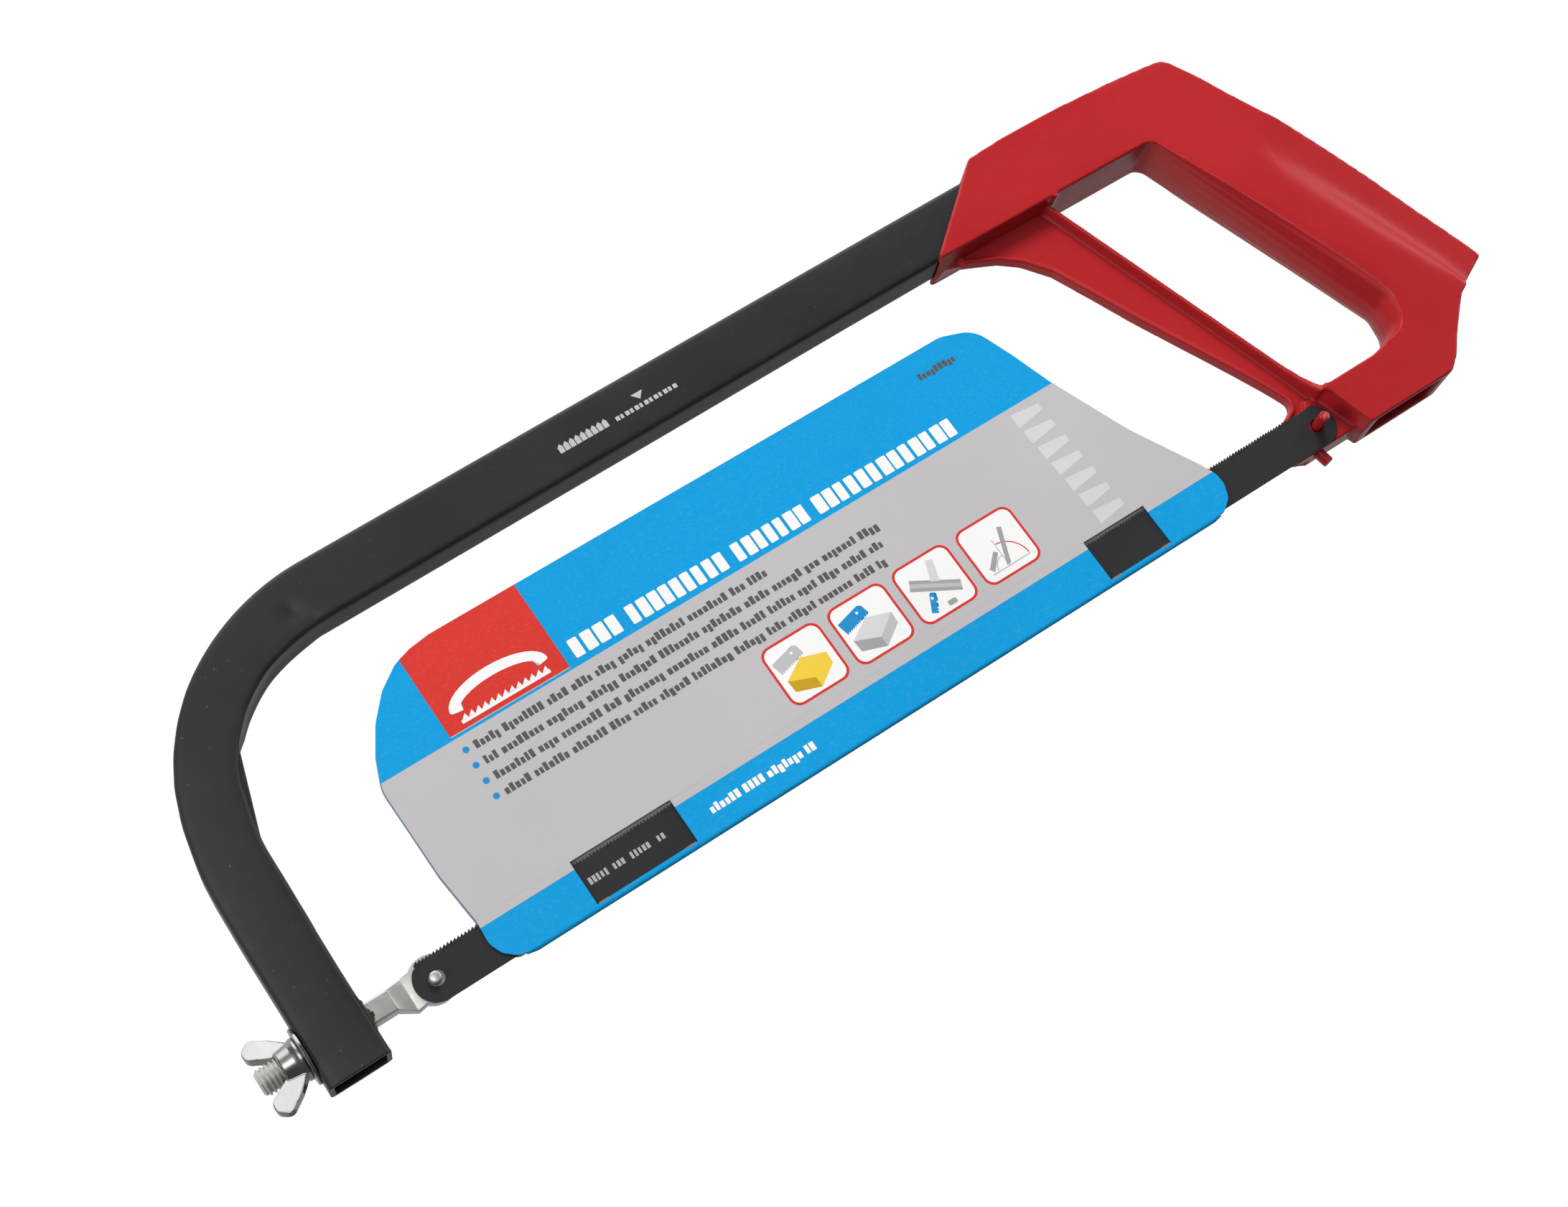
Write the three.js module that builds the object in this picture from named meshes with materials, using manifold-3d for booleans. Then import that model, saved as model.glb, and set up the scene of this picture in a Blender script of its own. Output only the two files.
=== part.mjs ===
// Hacksaw with a 300 mm blade: bent rectangular-tube frame, cast D-handle, blade hung on pins,
// sliding tension bolt with washer and wing nut, folded card sleeve round the blade.
// Millimetres. +X runs along the blade from the wing nut to the handle, +Z is up (tube on top),
// -Y is the side the blade lies on. Pieces are drawn from the centre of the blade's front hole
// (the one at the wing nut), on the frame mid-plane, then moved so that the origin is HANG.
import * as THREE from 'three';
import { mergeVertices } from 'three/addons/utils/BufferGeometryUtils.js';
import Module from 'manifold-3d';

const wasm = await Module();
wasm.setup();

// ---------- driving dimensions ----------
const HANG = [292, 0, 100.9];         // hanging point, on the top face of the finger opening
const FIT = 0.02;                     // clearance of the pin bores

const BLADE_L = 300;                  // hole to hole
const BLADE_W = 12.7;                 // over the teeth
const BLADE_T = 0.65;
const BLADE_HOLE_R = 2.2;
const BLADE_Y = -2.25;                // face nearer the mid-plane
const TOOTH_PITCH = 25.4 / 24;
const TOOTH_H = 0.6;

const TUBE_W = 17.7;                  // in the plane of the saw
const TUBE_D = 12;                    // across the saw
const TUBE_WALL = 1.4;
const TUBE_R = 1.5;                   // outside corners of the section
const TUBE_BORE_R = 0.6;              // inside corners
const LEG_X = -28.25;                 // centre of the leg
const LEG_Z0 = -10.2;                 // open end of the leg
const LEG_OUT = LEG_X - TUBE_W / 2;   // -X face of the leg
const LEG_IN = LEG_X + TUBE_W / 2;    // +X face of the leg
const BEND_R = 57.5;                  // centreline
const BEND_Z = 49.0;                  // where the bend starts
const TOP_SLOPE = 0.0153;             // the top run climbs slightly to the handle
const TOP_END_X = 303;                // end of the tube inside the handle
const PINCH = 0.25;                   // how far the inside wall is drawn in at the bend

const HALF = 8;                       // half thickness of the handle casting
const GRIP_HALF = 10;                 // ... of the grip
const WEB_HALF = 1.0;                 // ... of the web
const SEAT_HALF = 2.2;                // ... of the blade seat and of the web's free edge
const RIB_HALF = 4.2;                 // ... of the rib between web and finger opening
const CLEAR_Y = 14;                   // side cutters reach this far out

const PIN_R = 1.6;                    // blade pins
const PIN_OFF = 0.45;                 // the pins sit against the outer side of the blade holes
const FRONT_PIN = { x: -PIN_OFF, yBase: 0.8, yTip: -5, chamfer: 0.2 };
const SIDE_PIN = { x: BLADE_L + PIN_OFF, yBase: 5.5, yTip: -9.5, chamfer: 0.25 };
const LOW_PIN = { x: 297.2, y: 2, z: -3, r: 1.75, zTip: -10.4, chamfer: 0.25 };
const LOW_PIN_TILT = THREE.MathUtils.degToRad(10);
const LOW_PIN_L = (LOW_PIN.z - LOW_PIN.zTip) / Math.cos(LOW_PIN_TILT);

const AXIS_Z = 1.3;                   // thread axis above the blade holes
const THREAD_R = 3.85;
const THREAD_ROOT = 3.3;
const THREAD_PITCH = 1.25;
const BOLT_END_X = -50.6;
const SHANK = 6.1;                    // square
const SHANK_X = [-27.9, -12];
const HOLE_GAP = 0.35;                // round the thread, in leg and washer

const WASHER_T = 1.0;
const WASHER_R = 8.1;
const STACK_GAP = 0.05;               // leg to washer and washer to nut
const WASHER_X1 = LEG_OUT - STACK_GAP;
const WASHER_X0 = WASHER_X1 - WASHER_T;
const NUT_BASE_X = WASHER_X0 - STACK_GAP;
const NUT_TOP_X = NUT_BASE_X - 6.0;
const NUT_TURN = THREE.MathUtils.degToRad(-27);

const CARD_T = 0.5;                   // one leaf
const CARD_Y = [-3.45, -1.7];         // outer faces of the two leaves

const materials = {
  tube: new THREE.MeshStandardMaterial({ color: 0x2b2c30, roughness: 0.45, metalness: 0.3 }),
  red: new THREE.MeshStandardMaterial({ color: 0xb3222b, roughness: 0.4, metalness: 0.1 }),
  blade: new THREE.MeshStandardMaterial({ color: 0x2a2a2c, roughness: 0.5, metalness: 0.4 }),
  steel: new THREE.MeshStandardMaterial({ color: 0xc2c2bd, roughness: 0.35, metalness: 0.9 }),
  zinc: new THREE.MeshStandardMaterial({ color: 0xbfc2c4, roughness: 0.25, metalness: 1.0 }),
  card: new THREE.MeshStandardMaterial({ color: 0x1f9fe0, roughness: 0.6, metalness: 0.0 }),
};

// ---------- solids ----------
// Manifold from a closed geometry, turned outside out if its faces point inwards
function solid(source) {
  source.deleteAttribute('normal');
  source.deleteAttribute('uv');
  const geometry = mergeVertices(source, 1e-5);
  const position = geometry.attributes.position;
  const triVerts = new Uint32Array(geometry.index.array);
  const corners = [new THREE.Vector3(), new THREE.Vector3(), new THREE.Vector3()];
  let volume = 0;
  for (let i = 0; i < triVerts.length; i += 3) {
    corners.forEach((corner, j) => corner.fromBufferAttribute(position, triVerts[i + j]));
    volume += corners[0].dot(corners[1].cross(corners[2]));
  }
  if (volume < 0) {
    for (let i = 0; i < triVerts.length; i += 3) {
      [triVerts[i + 1], triVerts[i + 2]] = [triVerts[i + 2], triVerts[i + 1]];
    }
  }
  const vertProperties = new Float32Array(position.array);
  return new wasm.Manifold(new wasm.Mesh({ numProp: 3, vertProperties, triVerts }));
}

function toGeometry(manifold) {
  const mesh = manifold.getMesh();
  const geometry = new THREE.BufferGeometry();
  const points = new Float32Array(mesh.vertProperties);
  geometry.setAttribute('position', new THREE.BufferAttribute(points, 3));
  geometry.setIndex(new THREE.BufferAttribute(new Uint32Array(mesh.triVerts), 1));
  return geometry;
}

const join = (body, ...parts) => parts.reduce((sum, part) => sum.add(part), body);
const cut = (body, ...parts) => parts.reduce((rest, part) => rest.subtract(part), body);
const bothSides = (make) => [-1, 1].map(make);   // make(side), side being the sign of Y

const vectors = (points) => points.map(([x, y]) => new THREE.Vector2(x, y));

// n + 1 points on an arc
function arc(cx, cy, r, from, to, n) {
  return Array.from({ length: n + 1 }, (_, k) => {
    const angle = from + (to - from) * k / n;
    return [cx + r * Math.cos(angle), cy + r * Math.sin(angle)];
  });
}

// closed outline with each corner [x, y, radius] rounded by its own radius
function rounded(corners, segments = 4) {
  return corners.flatMap(([x, y, radius = 0], i) => {
    if (!radius) return [[x, y]];
    const [[ux, uy, lu], [vx, vy, lv]] = [corners.at(i - 1), corners[(i + 1) % corners.length]]
      .map(([nx, ny]) => {
        const length = Math.hypot(nx - x, ny - y);
        return [(nx - x) / length, (ny - y) / length, length];
      });
    const half = Math.acos(THREE.MathUtils.clamp(ux * vx + uy * vy, -1, 1)) / 2;
    const setback = Math.min(radius / Math.tan(half), lu * 0.49, lv * 0.49);
    const r = setback * Math.tan(half);
    const bisector = Math.hypot(ux + vx, uy + vy);
    const cx = x + (ux + vx) / bisector * r / Math.sin(half);
    const cy = y + (uy + vy) / bisector * r / Math.sin(half);
    const from = Math.atan2(y + uy * setback - cy, x + ux * setback - cx);
    let to = Math.atan2(y + vy * setback - cy, x + vx * setback - cx);
    if (to - from > Math.PI) to -= 2 * Math.PI;
    if (to - from < -Math.PI) to += 2 * Math.PI;
    return arc(cx, cy, r, from, to, segments);
  });
}

function roundedRect([x0, x1], halfY, r, segments) {
  const corners = [[x0, -halfY, r], [x1, -halfY, r], [x1, halfY, r], [x0, halfY, r]];
  return rounded(corners, segments);
}

// moves every vertex to move(x, y, z)
function warp(geometry, move) {
  const p = geometry.attributes.position;
  for (let i = 0; i < p.count; i++) p.setXYZ(i, ...move(p.getX(i), p.getY(i), p.getZ(i)));
  return geometry;
}

function prism(outline, depth, steps, hole) {
  const shape = new THREE.Shape(vectors(outline));
  if (hole) shape.holes.push(new THREE.Path(vectors(hole)));
  return new THREE.ExtrudeGeometry(shape, { depth, steps, bevelEnabled: false });
}

// outline carried through count stations; place(x, y, k) puts an outline point at station k
function loft(outline, count, place, hole) {
  const geometry = prism(outline, count - 1, count - 1, hole);
  return solid(warp(geometry, (x, y, z) => place(x, y, Math.round(z))));
}

// X-Z outline carried through stations [y, share], share 0 giving base and 1 giving target
function morph(base, target, stations) {
  return loft(base, stations.length, (x, z, k) => {
    const distances = base.map(([bx, bz]) => Math.hypot(bx - x, bz - z));
    const i = distances.indexOf(Math.min(...distances));
    const [y, share] = stations[k];
    const [bx, bz] = base[i];
    return [bx + (target[i][0] - bx) * share, y, bz + (target[i][1] - bz) * share];
  });
}

// block standing on the mid-plane: foot outline there, rim outline at the height half
const drafted = (foot, rim, half) =>
  bothSides((side) => morph(rim, foot, [[side * half, 0], [0, 1]]));

// X-Z outline given thickness from y0 to y1
function slab(outline, y0, y1, move = (...point) => point) {
  const geometry = prism(outline, y1 - y0, 1).rotateX(Math.PI / 2).translate(0, y1, 0);
  return solid(warp(geometry, move));
}

function box([x0, x1], [y0, y1], [z0, z1]) {
  const geometry = new THREE.BoxGeometry(x1 - x0, y1 - y0, z1 - z0);
  return solid(geometry.translate((x0 + x1) / 2, (y0 + y1) / 2, (z0 + z1) / 2));
}

const rod = (r, length, segments = 24) => new THREE.CylinderGeometry(r, r, length, segments);

function rodX(r, x0, x1, z, segments) {
  const geometry = rod(r, x1 - x0, segments).rotateZ(-Math.PI / 2);
  return solid(geometry.translate((x0 + x1) / 2, 0, z));
}

const rodYGeometry = (r, x, y0, y1, z, segments) =>
  rod(r, y1 - y0, segments).translate(x, (y0 + y1) / 2, z);
const rodY = (...size) => solid(rodYGeometry(...size));

// profile [x, r] turned about the X axis, then lifted by z
function latheX(profile, z, segments) {
  const geometry = new THREE.LatheGeometry(vectors(profile.map(([x, r]) => [r, x])), segments);
  return solid(geometry.rotateZ(-Math.PI / 2).translate(0, 0, z));
}

// ---------- frame tube ----------
const BEND_ANGLE = Math.PI / 2 - Math.atan(TOP_SLOPE);
const BEND_CX = LEG_X + BEND_R;       // centre of the bend
const LEG_L = BEND_Z - LEG_Z0;
const BEND_L = BEND_R * BEND_ANGLE;
const TOP_X = BEND_CX - BEND_R * Math.cos(BEND_ANGLE);   // start of the top run
const TOP_Z = BEND_Z + BEND_R * Math.sin(BEND_ANGLE);
const TUBE_L = LEG_L + BEND_L + (TOP_END_X - TOP_X) / Math.sin(BEND_ANGLE);

// how far each side of the tube strays outwards from the ideal line:
// [distance from the open end, inner side, outer side]
const STRAY = [
  [0, 0, 0], [25, 0, 0], [34, -0.1, 0], [42, -0.35, 0], [55, -0.55, -0.2], [63, -0.6, -0.5],
  [70, 0.1, -0.75], [79.3, 1.0, -0.43], [87, 1.6, 0.05], [95, 0.6, 0.4], [103, -0.4, 0.65],
  [109.4, -0.35, 0.84], [124.4, 0.15, 0.82], [148.5, 0.42, 0.92], [178, 0.44, 0.98],
  [238, 0.5, 1.0], [328, 0.7, 1.12], [999, 0.7, 1.12],
];

// length of bend passed at distance s from the open end
const bendPassed = (s) => THREE.MathUtils.clamp(s - LEG_L, 0, BEND_L);

// point at distance s, offset outwards from the centreline; the straight ends run on past the tube
function tubePoint(s, outwards, y) {
  const passed = bendPassed(s);
  const angle = passed / BEND_R;
  const straight = s - LEG_L - passed;
  const r = BEND_R + outwards;
  return [
    BEND_CX + Math.sin(angle) * straight - Math.cos(angle) * r,
    y,
    BEND_Z + Math.cos(angle) * straight + Math.sin(angle) * r,
  ];
}

// across runs from -1 on the inner side to +1 on the outer side
function strayAt(s, across) {
  let i = 0;
  while (i < STRAY.length - 2 && STRAY[i + 1][0] < s) i++;
  const [s0, inner0, outer0] = STRAY[i];
  const [s1, inner1, outer1] = STRAY[i + 1];
  const share = THREE.MathUtils.clamp((s - s0) / (s1 - s0), 0, 1);
  const t = (across + 1) / 2;
  return (inner0 + (inner1 - inner0) * share) * (1 - t) + (outer0 + (outer1 - outer0) * share) * t;
}

// section swept along the tube, running past both ends by overrun
function sweep(width, depth, r, overrun) {
  const bendSteps = 22;
  const bend = Array.from({ length: bendSteps + 1 }, (_, i) => LEG_L + BEND_L * i / bendSteps);
  const stations = [-overrun, 25, 34, 42, ...bend, 178, 238, 328, TUBE_L + overrun];
  const section = roundedRect([-width / 2, width / 2], depth / 2, r, 3);
  return loft(section, stations.length, (x, y, k) => {
    const s = stations[k];
    const pinch = x < 0 ? PINCH * Math.sin(Math.PI * bendPassed(s) / BEND_L) ** 2 : 0;
    return tubePoint(s, x * (1 - pinch) + strayAt(s, x / (width / 2)), -y);
  });
}

// burr collar round the square hole, on the +X face of the leg, torn into uneven teeth
function burrCollar() {
  const heights = [0.35, 0.3, 0.4, 0.3, 0.4, 0.9, 1.35, 0.85, 0.4, 0.35, 0.3, 0.35];
  const n = heights.length;
  const innerR = SHANK / 2 + 0.45;
  const width = 1.0;
  const sunk = 0.7;                   // root below the leg face
  const squareness = 0.65;            // 0 round, 1 square
  const ring = (r) => heights.map((_, i) => {
    const angle = 2 * Math.PI * (i + 0.5) / n;
    const c = Math.cos(angle), s = Math.sin(angle);
    const toSquare = 1 / Math.max(Math.abs(c), Math.abs(s));
    const stretch = 1 - squareness + squareness * toSquare;
    return [r * c * stretch, r * s * stretch];
  });
  const place = (y, z, k) => {
    const i = Math.round(Math.atan2(z, y) / (2 * Math.PI) * n - 0.5);
    const height = k ? heights[(i + n) % n] : -sunk;
    const flare = k ? 0.97 : 1.1;     // wider at the root
    return [LEG_IN + height, y * flare, AXIS_Z + z * flare];
  };
  return loft(ring(innerR + width), 2, place, ring(innerR).reverse());
}

// cross pin through the +Y wall of the tube, in a blind bore from the +Y face of the handle
const CROSS_PIN = { x: 288, z: TOP_Z + (288 - TOP_X) * TOP_SLOPE, r: 2.5, y0: 1.5, y1: HALF - 0.2 };
const crossPinBore = () => rodY(CROSS_PIN.r + FIT, CROSS_PIN.x, 0, 12, CROSS_PIN.z);
const crossPin = () =>
  rodYGeometry(CROSS_PIN.r, CROSS_PIN.x, CROSS_PIN.y0, CROSS_PIN.y1, CROSS_PIN.z);

function frameTube() {
  const squareHalf = SHANK / 2 + 0.25;
  const bore = sweep(TUBE_W - 2 * TUBE_WALL, TUBE_D - 2 * TUBE_WALL, TUBE_BORE_R, 1);
  const tube = cut(sweep(TUBE_W, TUBE_D, TUBE_R, 0), bore);
  return toGeometry(cut(
    join(tube, burrCollar()),
    box([LEG_X, LEG_IN + 5], [-squareHalf, squareHalf], [AXIS_Z - squareHalf, AXIS_Z + squareHalf]),
    rodX(THREAD_R + HOLE_GAP, LEG_OUT - 2, LEG_X, AXIS_Z),
    crossPinBore(),
  ));
}

// ---------- handle casting: X-Z outlines, [x, z, corner radius] ----------
const HANDLE_OUTLINE = [
  [232.6, 100.7, 0.8], [261.6, 124.4, 3.2], [275, 125.2], [290, 125.3], [300, 125.0],
  [315, 124.3], [329, 123.2], [335.8, 122.4, 5], [341.0, 113.2], [347.2, 99.4], [354.2, 85.4],
  [361.2, 70.5], [367.6, 56.3], [373.6, 41.2], [379.5, 26.3], [382.2, 18, 0.6],
  [364.4, 9.7, 2], [356, 1.8], [349.6, -5.2], [345, -8.7, 3], [312.9, -8.7, 1], [309.8, 0],
  [308.5, 4.4, 2], [306.6, 7.4, 0.8], [311, 12], [281, 97.5], [275.2, 100.7],
];
// finger opening on the faces and on the mid-plane
const OPENING_FACE = [
  [275.4, 100.9, 2.5], [314.9, 100.9, 5], [349.3, 20.5, 9], [345.5, 11.5, 9], [328, 8.0, 6],
  [307.7, 8.0, 3],
];
const OPENING_MID = [
  [275.4, 100.9, 2.5], [313.9, 100.9, 4], [340.3, 20.5, 4], [338.8, 10.6, 5], [326, 8.0, 6],
  [307.7, 8.0, 3],
];
// free edge of the web, downwards
const FREE_EDGE = [
  [241.5, 98.4], [246.5, 96.3], [252.1, 93.8], [257.6, 89.7], [263.8, 82.1], [269.7, 70],
  [275.3, 58], [280.7, 47.4], [286.0, 37.2], [291.2, 27.1], [296.3, 16.5],
];
// end of that edge, round the top of the blade seat
const FREE_EDGE_FOOT = [
  [298.2, 12.0], [298.45, 10.8], [298.2, 9.7], [297.6, 8.7], [296.6, 8.1], [293, 6.5],
];
// -X end and underside of the blade seat
const SEAT_EDGE = [[286.2, 2.5], [284.6, -1.2], [286, -5], [289.4, -6.5, 2], [313, -6.5]];
const WEB_OUTLINE = [
  [235.4, 100.8], ...FREE_EDGE, [299.4, 9.3, 3], [291, 5.6, 3], ...SEAT_EDGE,
  [306, 9], [275.4, 95], [275.4, 104], [235.4, 104],
];
const SEAT_OUTLINE = [
  [302.3, 8.6, 1], [299.8, 5.0, 1.5], [291, 5.3, 1], ...SEAT_EDGE, [308, 7.6],
];
const SHELF_OUTLINE = [[294, -6.5], [312.6, -6.5], [309, 2], [294, 2]];
const POCKET_OUTLINE = [[317, -12], [312.4, 4, 2], [336, 4, 2], [341, -4, 2], [341, -12]];
// -X side of the lower bar
const BAR_RIM = [
  [312, 7.9], [307.2, 7.9], [308.3, 4.4], [309.6, 0], [312.7, -8.7], [316, -8.7], [316, 7.9],
];
const BAR_FOOT = [
  [312, 7.9], [305.6, 7.9], [306.9, 4.2], [308.3, -0.2], [311.5, -8.7], [316, -8.7], [316, 7.9],
];
// underside of the socket block
const BLOCK_RIM = [[234.5, 101.5], [275.3, 101.5], [275.3, 100.8], [234.5, 100.8]];
const BLOCK_FOOT = [[236, 101.5], [275.3, 101.5], [275.3, 100.0], [236, 100.0]];

// the socket block and the lower bar are thinner than the grip
function thicknessCutters() {
  const profile = [   // [z, half thickness]
    [140, HALF], [121, HALF], [66, GRIP_HALF], [36, GRIP_HALF], [-7, HALF], [-20, HALF],
    [-20, CLEAR_Y], [140, CLEAR_Y],
  ];
  const ends = [220, 390];            // in X, past the casting
  return bothSides((side) => loft(profile, 2, (z, y, k) => [ends[k], side * y, z]));
}

// the wall of the opening swells elliptically from the faces to the mid-plane
function fingerOpening() {
  const steps = 10;
  const past = 15;
  const levels = Array.from({ length: steps + 1 }, (_, i) => Math.cos(Math.PI * i / steps) * GRIP_HALF);
  const stations = [past, ...levels, -past]
    .map((y) => [y, 1 - Math.sqrt(Math.max(0, 1 - (y / GRIP_HALF) ** 2))]);
  return morph(rounded(OPENING_MID, 5), rounded(OPENING_FACE, 5), stations);
}

// along the +X edge both faces step down to a thinner flange; the step dies out upwards
function flangeCutters() {
  const stations = [   // [x, z of the edge, half thickness of the flange]
    [335, 127, 10.4], [343.5, 107.5, 10.3], [347.2, 99.4, 10.0], [353.8, 85.2, 9.1],
    [360.7, 70.3, 7.6], [367.3, 56.2, 6.0], [373.6, 41.2, 4.6], [379.5, 26.3, 3.6], [385.6, 7, 3.1],
  ];
  const step = [       // [distance in from the edge, share of the rise to the face]
    [-8, 0], [0, 0], [9, 0], [10.6, 0.06], [12, 0.2], [13.4, 0.42], [14.8, 0.65], [16.2, 0.84],
    [17.8, 0.96], [19.6, 1],
  ];
  const toEdge = [0.925, 0.38];       // x, z of the direction across the grip to the +X edge
  // the outline's second coordinate is the row of the step table, or this for the outer side
  const outerRow = 20;
  const outline = [
    ...step.map(([inset], row) => [inset, row]),
    [step.at(-1)[0], outerRow], [step[0][0], outerRow],
  ];
  return bothSides((side) => loft(outline, stations.length, (inset, row, k) => {
    const [x, z, half] = stations[k];
    const i = Math.round(row);
    const y = i === outerRow ? CLEAR_Y : half + (GRIP_HALF + FIT - half) * step[i][1];
    return [x - toEdge[0] * inset, side * y, z - toEdge[1] * inset];
  }));
}

// drafted rib between the web and the finger opening; it rises to the lower bar at its foot
function ribs() {
  const stations = [   // [z, half thickness]
    [102, RIB_HALF], [98, RIB_HALF], [22, RIB_HALF], [15, 4.9], [10.5, 6.2], [7, 7.9],
  ];
  const toOpening = [0.9445, 0.3285]; // x, z of the direction across the rib
  const openingSide = 293.26;         // distances in that direction
  const webSideFoot = 290.9;
  const webSideRim = 292.0;
  const draft = 0.25;                 // of the rim, per mm above RIB_HALF
  const square = [[0, 0], [1, 0], [1, 1], [0, 1]];
  return bothSides((side) => loft(square, stations.length, (right, rim, k) => {
    const [z, half] = stations[k];
    const webSide = rim ? webSideRim - draft * (half - RIB_HALF) : webSideFoot;
    const across = right ? openingSide : webSide;
    return [(across - toOpening[1] * z) / toOpening[0], side * rim * half, z];
  }));
}

// raised bead along the free edge of the web
function edgeBead() {
  const width = 1.3;
  const edge = [...FREE_EDGE, ...FREE_EDGE_FOOT];
  const inset = edge.map(([x, z], i) => {
    const [ax, az] = edge[Math.max(0, i - 1)];
    const [bx, bz] = edge[Math.min(edge.length - 1, i + 1)];
    const length = Math.hypot(bx - ax, bz - az);
    return [x - (bz - az) / length * width, z + (bx - ax) / length * width];
  });
  return slab([...edge.reverse(), ...inset], -SEAT_HALF, SEAT_HALF);
}

// socket for the tube, open to the -X side and widened to follow the stray of the tube
function tubeSocket() {
  const gap = 0.12;
  const ends = [TUBE_L - 100, TUBE_L + 0.3];
  const [, inner, outer] = STRAY.at(-1);
  const across = [-TUBE_W / 2 - gap + inner, TUBE_W / 2 + gap + outer];
  const section = roundedRect(across, TUBE_D / 2 + gap, TUBE_R, 3);
  return loft(section, 2, (x, y, k) => tubePoint(ends[k], x, -y));
}

const bladePinBore = ({ x, yBase }) => rodY(PIN_R + FIT, x, -5, yBase + FIT, 0);

// the lower pin leans towards +X as it goes down
const placeLowPin = (geometry) =>
  geometry.rotateY(-LOW_PIN_TILT).translate(LOW_PIN.x, LOW_PIN.y, LOW_PIN.z);

function lowPinBore() {
  const geometry = rod(LOW_PIN.r + FIT, LOW_PIN_L + FIT).rotateX(Math.PI / 2);
  return solid(placeLowPin(geometry.translate(0, 0, -(LOW_PIN_L - FIT) / 2)));
}

function handle() {
  const pocketHalf = HALF - 2.3;
  const grip = cut(
    slab(rounded(HANDLE_OUTLINE, 3), -GRIP_HALF, GRIP_HALF),
    ...thicknessCutters(),
    fingerOpening(),
    ...flangeCutters(),
  );
  const body = join(
    grip,
    slab(rounded(WEB_OUTLINE, 3), -WEB_HALF, WEB_HALF),
    slab(rounded(SEAT_OUTLINE, 3), -SEAT_HALF, SEAT_HALF),
    ...ribs(),
    ...drafted(BAR_FOOT, BAR_RIM, HALF),
    ...drafted(BLOCK_FOOT, BLOCK_RIM, HALF - 0.5),
    edgeBead(),
    rodY(5.4, 296.2, 0, HALF, -0.9, 28),     // boss on the +Y side of the blade seat
    slab(SHELF_OUTLINE, 0, HALF - 1),        // shelf the lower pin stands in
  );
  return toGeometry(cut(
    body,
    slab(rounded(POCKET_OUTLINE, 3), -pocketHalf, pocketHalf),   // up into the lower bar
    tubeSocket(),
    bladePinBore(SIDE_PIN),
    lowPinBore(),
    crossPinBore(),
  ));
}

// ---------- blade pins ----------
// stands on the origin along +Y, chamfered at the tip
function chamferedRod(r, length, chamfer) {
  const profile = [[0, 0], [r, 0], [r, length - chamfer], [r - chamfer, length], [0, length]];
  return new THREE.LatheGeometry(vectors(profile), 24);
}

// points to -Y
const bladePin = ({ x, yBase, yTip, chamfer }) =>
  chamferedRod(PIN_R, yBase - yTip, chamfer).rotateX(Math.PI).translate(x, yBase, 0);

const lowerBladePin = () =>
  placeLowPin(chamferedRod(LOW_PIN.r, LOW_PIN_L, LOW_PIN.chamfer).rotateX(-Math.PI / 2));

// ---------- blade: teeth on the +Z edge, round ends ----------
function blade() {
  const r = BLADE_W / 2;
  const gullet = r - TOOTH_H;
  const cutoff = 0.52;                // radians of the end arcs left out next to the teeth
  const tipShare = 0.96;              // place of the tooth tip along its pitch
  const teeth = Math.floor((BLADE_L + 7) / TOOTH_PITCH);
  const x0 = BLADE_L / 2 - teeth * TOOTH_PITCH / 2;
  const outline = [];
  for (let i = teeth - 1; i >= 0; i--) {
    const x = x0 + i * TOOTH_PITCH;
    outline.push([x + TOOTH_PITCH, gullet], [x + TOOTH_PITCH * tipShare, r]);
  }
  outline.push(
    [x0, gullet],
    ...arc(0, 0, r, Math.PI / 2 + cutoff, 1.5 * Math.PI, 12).slice(1),
    ...arc(BLADE_L, 0, r, -Math.PI / 2, Math.PI / 2 - cutoff, 12).slice(0, -1),
  );
  const holes = [0, BLADE_L].map((x) => rodY(BLADE_HOLE_R, x, -10, 10, 0, 28));
  return toGeometry(cut(slab(outline, BLADE_Y - BLADE_T, BLADE_Y), ...holes));
}

// ---------- tension bolt: flat palm, ramp, square shank, thread ----------
function tensionBolt() {
  const half = SHANK / 2;
  const [shankX0, shankX1] = SHANK_X;
  const palmY = [BLADE_Y + 0.05, 1.3];
  const palm = [
    ...arc(-1.2, 0.35, 6.85, -2.3, 2.3, 16),
    [shankX1, AXIS_Z + half], [shankX1, AXIS_Z - half],
  ];
  const rampX = [shankX1 - 0.1, -8.3];
  const ramp = [
    [rampX[1], -4.9], [rampX[1], 5.4], [rampX[0], AXIS_Z + half], [rampX[0], AXIS_Z - half],
  ];
  // the palm end of the ramp has the thickness of the palm
  const thin = (x, y, z) => [x, x > -9 ? palmY[y < 0 ? 0 : 1] : y, z];
  const section = roundedRect([-half, half], half, 0.7, 2);

  const threadEndX = -27;             // just inside the shank
  const thread = [[BOLT_END_X, 0], [BOLT_END_X, THREAD_ROOT - 0.5]];
  for (let x = BOLT_END_X + 0.6; x < LEG_OUT + 1; x += THREAD_PITCH) {
    thread.push([x, THREAD_R], [x + 0.62, THREAD_ROOT], [x + 0.84, THREAD_ROOT]);
  }
  thread.push([threadEndX, THREAD_ROOT], [threadEndX, 0]);

  const body = join(
    slab(palm, ...palmY),
    slab(ramp, -half, half, thin),
    loft(section, 2, (x, y, k) => [k ? shankX1 : shankX0, y, AXIS_Z - x]),
    latheX(thread, AXIS_Z, 20),
  );
  return toGeometry(cut(body, bladePinBore(FRONT_PIN)));
}

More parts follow.
